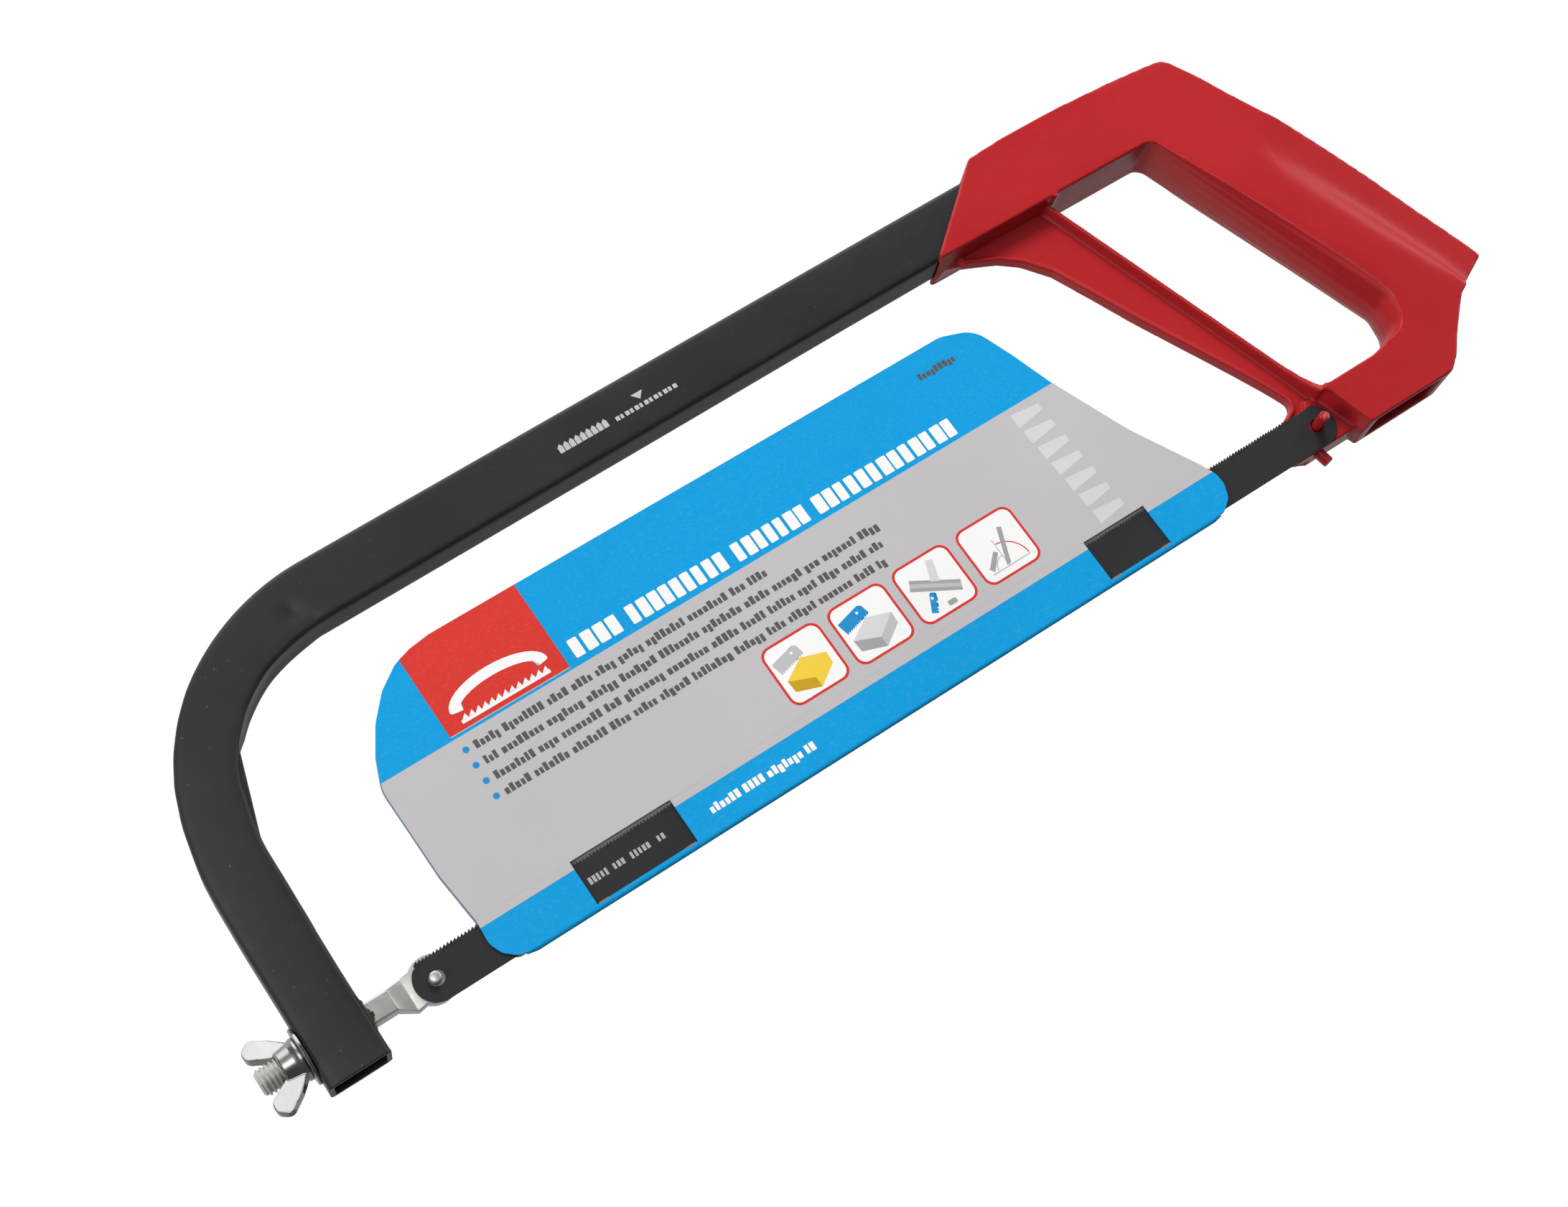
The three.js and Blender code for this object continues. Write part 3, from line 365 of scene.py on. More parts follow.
def build_mark():
    """a plain pictogram printed on the near face of the top run: a bar of teeth and a triangle"""
    ink = m_card("tube_ink", (0.52, 0.52, 0.53), 0.4); polys = []
    def P(u, v):
        u *= 1.08; v = v * 0.8 + 0.75
        x = 105.5 + u * math.cos(TH) - v * math.sin(TH); z = BZ + (105.5 - BX) * SLOPE + u * math.sin(TH) + v * math.cos(TH); return (x, -TUBE_D / 2 - crown(v) - 0.022, z)
    for i in range(9): polys.append([P(i * 1.7, -3.0), P(i * 1.7 + 1.45, -3.0), P(i * 1.7 + 1.45, -0.6), P(i * 1.7 + 0.9, 0.5), P(i * 1.7, -0.6)])
    for i in range(13): u = 17.4 + i * 1.5; w = (1.15, 0.8, 1.15, 0.9)[i % 4]; polys.append([P(u, -3.0), P(u + w, -3.0), P(u + w, -1.3), P(u, -1.3)])
    polys.append([P(24.4, 2.9), P(28.0, 2.9), P(26.2, 0.1)])
    v, f = [], []
    for q in polys: f.append(tuple(len(v) + k for k in range(len(q)))); v += q
    o = obj("tube_mark", v, f, [ink], smooth=False); fix_down(o); return o

# ------------------------------------------------------------------ handle casting
def build_handle():
    src = frame["nodes"]["handle"]
    me = src.data.copy(); o = bpy.data.objects.new("vis_handle", me); bpy.context.scene.collection.objects.link(o)
    me.materials.clear(); me.materials.append(M_RED); me.transform(Matrix.Translation(-OFF))
    bm = bmesh.new(); bm.from_mesh(me); bmesh.ops.remove_doubles(bm, verts=bm.verts, dist=1e-6); bm.to_mesh(me); bm.free()
    remesh(o, 0.38, smooth=9, factor=0.5)
    # the step down to the flange along the back edge is soft: even out the heights there, leave the outline alone
    n = len(o.data.vertices); co = np.empty(n * 3); o.data.vertices.foreach_get("co", co); co = co.reshape(-1, 3)
    ed = np.empty(len(o.data.edges) * 2, dtype=np.int32); o.data.edges.foreach_get("vertices", ed); ed = ed.reshape(-1, 2)
    x, z = co[:, 0] / MM, co[:, 2] / MM; st = np.array([(335, 127), (343.5, 107.5), (347.2, 99.4), (354.2, 85.4), (361.2, 70.5), (367.6, 56.3), (373.6, 41.2), (379.5, 26.3), (385.6, 7)], float)
    xe = np.interp(z, st[::-1, 1], st[::-1, 0]); d = (xe - x) * 0.925
    nm = np.empty(n * 3); o.data.vertices.foreach_get("normal", nm); nm = nm.reshape(-1, 3)
    w = np.clip((d - 1.2) / 2.5, 0, 1) * np.clip((26 - d) / 5, 0, 1) * np.clip((z - 16) / 6, 0, 1) * np.clip((np.abs(nm[:, 1]) - 0.55) / 0.3, 0, 1) * (z < 125)
    fl = np.abs(nm[:, 1]).copy(); dg = np.bincount(ed.ravel(), minlength=n).astype(float)
    for _ in range(5): fl = (np.bincount(ed[:, 0], weights=fl[ed[:, 1]], minlength=n) + np.bincount(ed[:, 1], weights=fl[ed[:, 0]], minlength=n)) / dg
    w = np.maximum(w, np.clip((fl - 0.90) / 0.06, 0, 1) * 0.85)
    y = co[:, 1].copy(); deg = np.bincount(ed.ravel(), minlength=n).astype(float)
    for _ in range(60):
        acc = np.bincount(ed[:, 0], weights=y[ed[:, 1]], minlength=n) + np.bincount(ed[:, 1], weights=y[ed[:, 0]], minlength=n)
        y += w * 0.9 * (acc / deg - y)
    co[:, 1] = y; o.data.vertices.foreach_set("co", co.ravel()); o.data.update()
    ride(o, "frame"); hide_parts("handle"); return o

def build_pins():
    L = 15.0; r = 1.6
    prof = [(5.5, 0.0), (5.5, r - .1), (5.3, r), (-2.6, r), (-9.0, r), (-9.25, r - .06), (-9.42, r - .22), (-9.5, r - .5), (-9.52, 0)]
    o = lathe("vis_side_blade_pin", [(a, q) for a, q in prof], M_PIN, "Y", 40, (300.45, 0, 0)); ride(o, "frame"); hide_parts("side_blade_pin")
    Ln = (-3 + 10.4) / math.cos(math.radians(10)); r = 1.75
    prof = [(0, 0), (0, r), (-Ln + .5, r), (-Ln + .25, r - .06), (-Ln + .08, r - .2), (-Ln, r - .5), (-Ln, 0)]
    p = lathe("vis_lower_blade_pin", prof, M_PIN, "Z", 40)
    p.data.transform(Matrix.Translation(Vector((297.2, 2, -3)) * MM) @ Matrix.Rotation(-math.radians(10), 4, "Y"))
    ride(p, "frame"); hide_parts("lower_blade_pin")
    z = BZ + (288 - BX) * SLOPE; r = 2.5
    prof = [(1.5, 0), (1.5, r), (7.3, r), (7.6, r - .1), (7.78, r - .35), (7.8, r - .7), (7.72, 1.0), (7.55, 0.6), (7.5, 0)]
    q = lathe("vis_handle_pin", prof, M_STEEL, "Y", 48, (288, 0, z)); ride(q, "frame"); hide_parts("handle_pin")
    r = 1.6
    prof = [(0.8, 0), (0.8, r), (-4.5, r), (-4.75, r - .05), (-4.92, r - .2), (-5.0, r - .5), (-5.02, 0)]
    w = lathe("vis_front_blade_pin", prof, M_STEEL, "Y", 48, (-0.45, 0, 0)); ride(w, "bolt"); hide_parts("front_blade_pin")

# ------------------------------------------------------------------ curve-filled plate with round-edged outline
def plate(name, loops, y0, y1, mat, edge=0.05, res=2):
    """loops in X-Z (first is the outline, the rest are holes); plate from y0 to y1"""
    cu = bpy.data.curves.new(name, "CURVE"); cu.dimensions = "2D"; cu.fill_mode = "BOTH"
    cu.bevel_depth = edge * MM; cu.bevel_resolution = res; cu.extrude = ((y1 - y0) / 2 - edge) * MM; cu.offset = -edge * MM
    for lp in loops:
        sp = cu.splines.new("POLY"); sp.points.add(len(lp) - 1); sp.use_cyclic_u = True
        for p, (x, z) in zip(sp.points, lp): p.co = (x * MM, z * MM, 0, 1)
    o = bpy.data.objects.new(name, cu); bpy.context.scene.collection.objects.link(o)
    bpy.context.view_layer.update(); dg = bpy.context.evaluated_depsgraph_get(); me = bpy.data.meshes.new_from_object(o.evaluated_get(dg))
    bpy.data.objects.remove(o)
    me.transform(Matrix.Translation((0, (y0 + y1) / 2 * MM, 0)) @ Matrix.Rotation(math.pi / 2, 4, "X"))
    m = bpy.data.objects.new(name, me); bpy.context.scene.collection.objects.link(m); me.materials.clear(); me.materials.append(mat)
    bm = bmesh.new(); bm.from_mesh(me); bmesh.ops.remove_doubles(bm, verts=bm.verts, dist=1e-7); bm.to_mesh(me); bm.free()
    fix_normals(m); auto_smooth(m, 12); return m

def cut_grid(o, xs=(), zs=()):
    bm = bmesh.new(); bm.from_mesh(o.data)
    for x in xs: bmesh.ops.bisect_plane(bm, geom=bm.verts[:] + bm.edges[:] + bm.faces[:], plane_co=(x * MM, 0, 0), plane_no=(1, 0, 0))
    for z in zs: bmesh.ops.bisect_plane(bm, geom=bm.verts[:] + bm.edges[:] + bm.faces[:], plane_co=(0, 0, z * MM), plane_no=(0, 0, 1))
    bm.to_mesh(o.data); bm.free()

# ------------------------------------------------------------------ blade
def build_blade():
    L, W, T, Y = 300, 12.7, 0.65, -2.25; R = W / 2; zt, zr = W / 2, W / 2 - 0.62; P = 25.4 / 24
    n = int((L + 7) // P); x0 = L / 2 - n * P / 2; top = zr - 0.9
    th = math.asin(top / R)
    pts = []
    for k in range(41): a = math.pi - th + (math.pi / 2 + th) * k / 40; pts.append((R * math.cos(a), R * math.sin(a)))
    for k in range(41): a = -math.pi / 2 + (math.pi / 2 + th) * k / 40; pts.append((L + R * math.cos(a), R * math.sin(a)))
    hole = lambda x: [(x + 2.2 * math.cos(2 * math.pi * k / 48), 2.2 * math.sin(2 * math.pi * k / 48)) for k in range(48)]
    b = plate("blade_body", [pts, hole(0), hole(L)], Y - T, Y, M_BLADE, 0.05)
    # toothed edge with a gentle wavy set
    v, f = [], []
    cols = []
    for i in range(n):
        x = x0 + i * P
        for q, z in ((0.0, zr), (0.18, zr + 0.02), (0.80, zt - 0.03), (0.94, zt), (0.97, zt - 0.12)): cols.append((x + q * P, z))
    cols.append((x0 + n * P, zr))
    for (x, z) in cols:
        w = 0.16 * math.sin(2 * math.pi * x / (9 * P)); g = 0.012
        for (yy, zz) in ((Y - T - g, top - 0.15), (Y - T - g + w * .35, zr - 0.3), (Y - T - g + w, z), (Y + g + w, z), (Y + g + w * .35, zr - 0.3), (Y + g, top - 0.15)): v.append((x, yy, zz))
    for i in range(len(cols) - 1):
        for j in range(5): a = i * 6 + j; f.append((a, a + 1, a + 7, a + 6))
    m = len(cols) - 1; f.append((0, 1, 2, 3, 4, 5)); f.append(tuple(m * 6 + k for k in range(6)))
    t = obj("teeth", v, f, [M_BLADE]); fix_normals(t); auto_smooth(t, 20)
    o = join("vis_blade", [b, t])
    # greeked size marks in the left window
    ink = m_card("blade_ink", (0.42, 0.42, 0.43), 0.45)
    r = random.Random(5); marks = []
    def bar(xa, xb, za, zb):
        marks.append(((xa, za), (xb, za), (xb, zb), (xa, zb)))
    x = 46.0
    for wd in (6.4, 4.2, 7.2, 3.4, 4.6):
        k = int(wd / 1.25)
        for j in range(k):
            hgt = r.choice((1.7, 1.7, 2.0)); bar(x + j * 1.25, x + j * 1.25 + r.choice((0.75, 0.9)), -hgt / 2, hgt / 2)
        x += wd + 1.2
        if x > 71: break
    vv, ff = [], []
    for mk in marks:
        ff.append(tuple(len(vv) + k for k in range(4))); vv += [(a, Y - T - 0.006, c) for a, c in mk]
    d = obj("marks", vv, ff, [ink], smooth=False); fix_down(d)
    o = join("vis_blade", [o, d])
    ride(o, "blade"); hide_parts("blade"); return o

def fix_down(o):
    """every face looks towards -Y"""
    bm = bmesh.new(); bm.from_mesh(o.data); bm.normal_update()
    fl = [f for f in bm.faces if f.normal.y > 0]
    if fl: bmesh.ops.reverse_faces(bm, faces=fl)
    bm.to_mesh(o.data); bm.free()

# ------------------------------------------------------------------ tension bolt
def build_bolt():
    S = 6.1; h = S / 2; rr = 6.55; px = -0.9; pz = 0.55; y0, y1 = -2.2, 1.3
    palm = []
    for k in range(49): a = -2.3 + 4.6 * k / 48; palm.append((px + rr * math.cos(a), pz + rr * math.sin(a)))
    palm += [(-8.3, 4.85), (-8.3, -4.8)]
    hole = []
    p = prism("palm", palm, y0, y1, M_STEEL); bevel(p, 0.28, 3, 50)
    # ramp from the palm up to the square shank
    v = [(-8.0, y0, -4.85), (-8.0, y0, 4.85), (-8.0, y1, 4.85), (-8.0, y1, -4.85), (-12.3, -h, AXZ - h), (-12.3, -h, AXZ + h), (-12.3, h, AXZ + h), (-12.3, h, AXZ - h)]
    f = [(0, 1, 2, 3), (7, 6, 5, 4), (0, 4, 5, 1), (1, 5, 6, 2), (2, 6, 7, 3), (3, 7, 4, 0)]
    ra = obj("ramp", v, f, [M_STEEL], smooth=False); fix_normals(ra); bevel(ra, 0.22, 3, 20)
    v = [(x, y, z) for x in (-28.0, -12.0) for y, z in ((-h, AXZ - h), (h, AXZ - h), (h, AXZ + h), (-h, AXZ + h))]
    f = [(0, 1, 2, 3), (7, 6, 5, 4), (0, 4, 5, 1), (1, 5, 6, 2), (2, 6, 7, 3), (3, 7, 4, 0)]
    sh = obj("shank", v, f, [M_STEEL], smooth=False); fix_normals(sh); bevel(sh, 0.55, 4, 30)
    # helical thread
    Pt, ro, ri, xe = 1.25, 3.85, 3.2, -50.6; seg = 72; rings = []
    x = xe; xs = []
    while x < -27.0: xs.append(x); x += Pt / 14 if x < -35.5 else 0.6
    for x in xs:
        ring = []
        for k in range(seg):
            t = 2 * math.pi * k / seg; u = ((x / Pt - t / (2 * math.pi)) % 1.0)
            tri = abs(u - 0.5) * 2; pr = min(1, max(0, (tri - 0.12) / 0.72)); r = ri + (ro - ri) * pr
            r = min(r, 2.75 + (x - xe) * 1.1); ring.append((x, r * math.cos(t), AXZ + r * math.sin(t)))
        rings.append(ring)
    v, f = grid(rings, True, True, True); th = obj("thread", v, f, [M_STEEL]); fix_normals(th); auto_smooth(th, 60)
    o = join("vis_tension_bolt", [p, ra, sh, th]); ride(o, "bolt"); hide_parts("tension_bolt"); return o

# ------------------------------------------------------------------ washer, wing nut
def build_nut():
    x1 = LEG_OUT - 0.05; x0 = x1 - 1.0; R, ri = 8.1, 4.2
    prof = [(x1, ri + .12), (x1 - .12, ri), (x0 + .12, ri), (x0, ri + .12), (x0, R - .3), (x0 + .08, R - .12), (x0 + .25, R), (x1 - .2, R), (x1 - .06, R - .06), (x1, R - .2)]
    seg = 96; rings = []
    for a, r in prof + prof[:1]: rings.append([(a, r * math.cos(2 * math.pi * k / seg), AXZ + r * math.sin(2 * math.pi * k / seg)) for k in range(seg)])
    v, f = grid(rings, True); w = obj("vis_washer", v, f, [M_ZINC])
    bm = bmesh.new(); bm.from_mesh(w.data); bmesh.ops.remove_doubles(bm, verts=bm.verts, dist=1e-8); bm.to_mesh(w.data); bm.free()
    fix_normals(w); auto_smooth(w, 35); ride(w, "washer"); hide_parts("washer")
    b = x0 - 0.05; t = b - 6.0
    prof = [(t, 0), (t, 4.45), (t + .15, 4.75), (t + .45, 4.98), (b - 2.2, 5.45), (b - 1.5, 5.75), (b - 1.0, 6.05), (b - .25, 6.1), (b - .06, 6.0), (b, 5.8), (b, 0)]
    hub = lathe("hub", prof, M_ZINC, "X", 72)
    wing = rounded([(b - .7, 2.5), (b - .7, 5.2), (b - 4.4, 9.6, 5), (b - 9.2, WING_Z, 1.8), (b - 12.2, WING_Z - 2.4, 2.6), (b - 12.4, 8.0, 2.6), (b - 6.7, 4.2, 1.2), (b - 5.4, 2.5)], 8)
    parts = [hub]
    for s in (1, -1):
        o = prism("wing", [(x, s * z) for x, z in wing], -1.5, 1.5, M_ZINC)
        for vv in o.data.vertices:
            z = abs(vv.co.z / MM); k = 1.0 - 0.045 * max(0, z - 4); vv.co.y *= max(0.55, k)
        parts.append(o)
    o = join("vis_wing_nut", parts); remesh(o, 0.17, smooth=7, factor=0.5)
    # tapped bore, opened with a second pass so the fillets above stay solid
    bo = lathe("bore", [(t - 3, 0), (t - 3, 3.95), (b + 3, 3.95), (b + 3, 0)], M_ZINC, "X", 64)
    md = o.modifiers.new("c", "BOOLEAN"); md.operation = "DIFFERENCE"; md.object = bo; md.solver = "EXACT"; apply_all(o); bpy.data.objects.remove(bo)
    auto_smooth(o, 45)
    o.data.transform(Matrix.Translation((0, 0, AXZ * MM)) @ Matrix.Rotation(math.radians(NUT_TURN), 4, "X"))
    ride(o, "wing_nut"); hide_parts("wing_nut"); return o
WING_Z, NUT_TURN = 13.7, -27.0

# ------------------------------------------------------------------ card sleeve
OUTLINE = rounded([
    (16, 7, 2), (14.4, 22, 20), (14.0, 50, 12), (17.4, 58.5, 8), (22.2, 66.5, 8), (28.2, 73.2, 8), (35, 77.9, 8), (40.5, 79.6, 4), (47, 80.5, 8), (220.5, 81.6, 10), (230.5, 78.2, 9),
    (235.4, 66, 30), (240.9, 50, 40), (250.6, 28, 60), (261.6, 8.5, 8), (263.9, 3.4, 5), (264, 0, 4), (262.2, -4.3, 4), (258.2, -7.2, 4), (254.5, -8.0, 4), (25.5, -8.0, 6), (20.2, -6.4, 5), (17.2, -3.8, 4), (15.6, 0, 5)], 6)
Y_FRONT, Y_BACK, LEAF = -3.45, -1.70, 0.5

def clip(poly, axis, v, keep_greater):
    out = []
    for i, p in enumerate(poly):
        q = poly[(i + 1) % len(poly)]; a, b = p[axis] - v, q[axis] - v
        if not keep_greater: a, b = -a, -b
        if a >= 0: out.append(p)
        if (a >= 0) != (b >= 0): k = a / (a - b); out.append((p[0] + (q[0] - p[0]) * k, p[1] + (q[1] - p[1]) * k))
    return out

def sway(x, z):
    """how far the near leaf's board stands off flat; nothing at the fold"""
    k = max(0.0, min(1.0, (z - 8) / 60))
    return k * (0.22 * math.sin((x - 30) / 75.0) + 0.16 * math.sin(x / 41.0 + z / 29.0) - 0.1)

class Print:
    """flat ink areas lying on the near leaf, one material each"""
    def __init__(self): self.parts = {}
    def add(self, mat, poly, lift=0.02):
        self.parts.setdefault((mat, lift), []).append(poly)
    def rect(self, mat, x0, x1, z0, z1, lift=0.03, r=0.0, seg=3):
        p = [(x0, z0, r), (x1, z0, r), (x1, z1, r), (x0, z1, r)] if r else [(x0, z0), (x1, z0), (x1, z1), (x0, z1)]
        self.add(mat, rounded(p, seg) if r else p, lift)
    def build(self):
        objs = []
        for (mat, lift), polys in self.parts.items():
            bm = bmesh.new()
            for p in polys:
                vs = [bm.verts.new((x * MM, (Y_FRONT - lift) * MM, z * MM)) for x, z in p]
                try: bm.faces.new(vs)
                except ValueError: pass
            if max(max(q[0] for q in p) - min(q[0] for q in p) for p in polys) > 4 or max(max(q[1] for q in p) - min(q[1] for q in p) for p in polys) > 4:
                bmesh.ops.triangulate(bm, faces=bm.faces[:])
                for x in range(20, 262, 6): bmesh.ops.bisect_plane(bm, geom=bm.verts[:] + bm.edges[:] + bm.faces[:], plane_co=(x * MM, 0, 0), plane_no=(1, 0, 0))
                for z in range(8, 80, 6): bmesh.ops.bisect_plane(bm, geom=bm.verts[:] + bm.edges[:] + bm.faces[:], plane_co=(0, 0, z * MM), plane_no=(0, 0, 1))
            me = bpy.data.meshes.new("ink"); bm.to_mesh(me); bm.free(); me.materials.append(mat)
            o = bpy.data.objects.new("ink", me); bpy.context.scene.collection.objects.link(o); fix_down(o); objs.append(o)
        return objs

def build_card():
    blue = m_card("board_blue", (0.006, 0.328, 0.71)); grey = m_card("board_grey", (0.515, 0.498, 0.518)); red = m_card("ink_red", (0.655, 0.043, 0.033))
    white = m_card("ink_white", (0.90, 0.90, 0.90)); dark = m_card("ink_dark", (0.105, 0.10, 0.098)); raw = m_card("board_raw", (0.30, 0.17, 0.12), 0.7, True)
    pale = m_card("ink_pale", (0.50, 0.50, 0.52)); yellow = m_card("ink_yellow", (0.86, 0.60, 0.06)); inside = m_card("board_inside", (0.46, 0.45, 0.44), 0.6)
    mid = m_card("ink_mid_grey", (0.28, 0.28, 0.29)); inkblue = m_card("ink_blue", (0.02, 0.27, 0.60))
    xs, zs = range(20, 262, 6), range(8, 80, 6)
    w1 = rounded([(44.5, -6.45, .4), (76, -6.45, .4), (76, 7.1, .4), (44.5, 7.1, .4)], 3); w2 = rounded([(217, -6.45, .4), (239, -6.45, .4), (239, 7.1, .4), (217, 7.1, .4)], 3)
    up = clip(OUTLINE, 1, -6.9, True)
    front = plate("front_leaf", [up, w1, w2], Y_FRONT, Y_FRONT + LEAF, blue, 0.03); cut_grid(front, xs, zs)
    back = plate("back_leaf", [clip([(x - .25, z - .2) for x, z in OUTLINE], 1, -6.9, True)], Y_BACK - LEAF, Y_BACK, inside, 0.03); cut_grid(back, xs, zs)
    # the outer side of the far leaf is printed blue too
    back.data.materials.append(blue)
    for p in back.data.polygons:
        if p.normal.y > 0.5 or abs(p.normal.y) < 0.5: p.material_index = 1
    # rounded fold along the bottom, and its tapered ends
    rings = []
    ro, cy = (Y_BACK - Y_FRONT) / 2, (Y_BACK + Y_FRONT) / 2
    for x, zf in [(17.6, -4.2), (18.6, -5.5), (20.2, -6.5), (22.5, -7.4), (25.5, -8.0)] + [(x, -8.0) for x in range(31, 254, 6)] + [(254.5, -8.0), (257, -7.5), (258.8, -6.8), (260.6, -5.6), (262, -4.4)]:
        ring = []
        d = -6.8 - zf
        for k in range(17):
            a = math.pi + math.pi * k / 16; ring.append((x, cy + ro * math.cos(a), -6.85 + max(0.02, d) * math.sin(a) if d > 0 else -6.85 + 0.02 * math.sin(a)))
        for k in range(16, -1, -1):
            a = math.pi + math.pi * k / 16; ring.append((x, cy + (ro - LEAF) * math.cos(a), -6.83 + max(0.01, d - LEAF) * math.sin(a) if d > LEAF else -6.83 + 0.01 * math.sin(a)))
        rings.append(ring)
    rings = [r for r in rings if min(p[2] for p in r) < -6.9]
    v, f = grid(rings, True, True, True); fold = obj("fold", v, f, [blue]); fix_normals(fold); auto_smooth(fold, 40)
    pr = Print()
    # grey middle panel clipped to the outline, leaving the blue lower band bare
    g = clip(clip(OUTLINE, 1, 4.7, True), 1, 51.8, False)
    g = [(x, z + (0.004 * (x - 120) if z > 40 else 0)) for x, z in g]
    # the windows cut into the grey panel
    g1 = clip(g, 1, 7.1, True); pr.add(grey, g1, 0.02)
    for a, b in ((10, 44.5), (76, 217), (239, 270)): pr.add(grey, clip(clip(clip(g, 1, 7.12, False), 0, a, True), 0, b, False), 0.02)
    # red block in the blue head
    rb = clip(clip(clip(OUTLINE, 0, 36.5, True), 0, 74, False), 1, 52.6, True); pr.add(red, rb, 0.03)
    # generic pictogram in it: a saw blade arc over a bar
    arc = []
    for k in range(25): a = math.radians(200 - 220 * k / 24); arc.append((55.2 + 15.2 * math.cos(a), 58.2 + 6.4 * math.sin(a) * (1 if math.sin(a) > 0 else 0.25)))
    for k in range(24, -1, -1): a = math.radians(200 - 220 * k / 24); arc.append((55.2 + 12.4 * math.cos(a), 57.6 + 4.0 * math.sin(a) * (1 if math.sin(a) > 0 else 0.25)))
    pr.add(white, arc, 0.045)
    for i in range(13): x = 41.6 + i * 2.1; pr.add(white, [(x, 54.9), (x + 2.0, 54.9), (x + 1.7, 56.4)], 0.045)
    pr.rect(white, 41.4, 69.0, 54.0, 55.0, 0.045)
    pr.rect(inside, 36.6, 74, 52.3, 52.62, 0.034)
    r = random.Random(21)
    def words(mat, x0, x1, z, h, gw, gap, space, lift=0.035, lens=(3, 8), heavy=False):
        x = x0; left = r.randint(*lens)
        while x + gw < x1:
            k = r.random(); w = gw * r.uniform(0.75, 1.1); up = h if k > 0.62 else h * 0.72; lo = -h * 0.24 if k < 0.10 else 0
            pr.rect(mat, x, x + w, z + lo, z + up, lift)
            x += w + gap; left -= 1
            if left <= 0: x += space; left = r.randint(*lens)
    # head line: four heavy greeked words of plain solid blocks
    for a, b in ((77, 92.5), (95.5, 127.5), (130.5, 155), (158, 207)):
        x = a; m = max(4, round((b - a) / 3.7)); w = (b - a - 0.5 * (m - 1)) / m
        for i in range(m):
            k = r.random(); pr.rect(white, x, x + w * (0.82 + 0.18 * k), 53.6, 59.3, .035, 0.35, 2); x += w + 0.5
    words(dark, 207.2, 221.5, 73.0, 2.1, 1.15, 0.35, 0.5, lens=(6, 12))
    for i, (z, xe) in enumerate(((47.2, 135), (42.2, 171), (37.2, 169), (32.2, 166))):
        c = [(38.2 + 0.95 * math.cos(t * math.pi / 8), z + 0.3 + 0.95 * math.sin(t * math.pi / 8)) for t in range(16)]; pr.add(inkblue, c, 0.035)
        words(dark, 40.8, xe, z - 0.95, 2.45, 1.28, 0.42, 1.05)
    words(white, 83.5, 117.5, -2.3, 2.5, 1.35, 0.4, 0.9, lens=(4, 7))
    # four application pictograms in red rounded frames
    for x in (119.0, 141.2, 163.4, 185.8):
        pr.rect(red, x, x + 19.4, 9.8, 28.8, 0.03, 3.2, 6); pr.rect(white, x + .75, x + 18.65, 10.55, 28.05, 0.038, 2.6, 6)
    shade = m_card("ink_shade", (0.56, 0.34, 0.02)); lite = m_card("ink_light_grey", (0.66, 0.66, 0.67)); steel_ink = m_card("ink_steel", (0.36, 0.36, 0.37))
    def block(x, top_m, left_m, right_m):
        # a bar seen from its corner
        pr.add(top_m, [(x + 2.6, 17.6), (x + 9.4, 21.6), (x + 16.6, 19.2), (x + 10.0, 14.6)], .045)
        pr.add(left_m, [(x + 2.6, 17.6), (x + 10.0, 14.6), (x + 10.0, 11.4), (x + 2.9, 13.9)], .046)
        pr.add(right_m, [(x + 10.0, 14.6), (x + 16.6, 19.2), (x + 16.4, 15.6), (x + 10.0, 11.4)], .047)
    def saw(x, z, w, h, m, ang):
        c, q = math.cos(math.radians(ang)), math.sin(math.radians(ang)); n = int(w / 0.8); pts = [(0, 0)]
        for i in range(n): pts += [(i * w / n + w / n * .1, -0.55), ((i + 1) * w / n, 0)]
        pts += [(w, h * .75), (w - h * .25, h), (0, h)]
        pr.add(m, [(x + c * u - q * v, z + q * u + c * v) for u, v in pts], .052)
        cx, cz = w * .72, h * .6
        pr.add(white if m is not white else dark, [(x + c * (cx + .42 * math.cos(t)) - q * (cz + .42 * math.sin(t)), z + q * (cx + .42 * math.cos(t)) + c * (cz + .42 * math.sin(t))) for t in [k * math.pi / 6 for k in range(12)]], .056)
    block(119.0, yellow, shade, yellow); saw(121.4, 20.3, 9.0, 3.6, pale, 14)
    block(141.2, lite, steel_ink, pale); saw(143.6, 20.3, 9.0, 3.6, inkblue, 14)
    x = 163.4
    pr.add(steel_ink, [(x + 2.4, 21.0), (x + 4.0, 24.0), (x + 16.8, 16.8), (x + 15.6, 13.8)], .045); pr.add(pale, [(x + 2.9, 22.0), (x + 3.5, 23.1), (x + 16.4, 15.9), (x + 15.9, 14.8)], .047)
    pr.add(lite, [(x + 9.2, 20.6), (x + 11.4, 26.6), (x + 13.6, 26.0), (x + 11.6, 19.4)], .048); saw(x + 5.4, 11.9, 6.2, 1.7, inkblue, 62); pr.rect(steel_ink, x + 9.6, x + 12.4, 11.7, 13.3, .047, .3, 2)
    x = 185.8
    for r0, r1, a0, a1, m_ in ((7.0, 7.35, 2, 88, red), (3.4, 3.7, 92, 178, pale)):
        seg = [math.radians(a0 + (a1 - a0) * k / 16) for k in range(17)]
        pr.add(m_, [(x + 9.0 + r1 * math.cos(t), 12.8 + r1 * math.sin(t)) for t in seg] + [(x + 9.0 + r0 * math.cos(t), 12.8 + r0 * math.sin(t)) for t in seg[::-1]], .047)
    pr.rect(pale, x + 3.2, x + 16.4, 12.5, 12.85, .048); pr.rect(pale, x + 8.85, x + 9.15, 12.8, 21.6, .048)
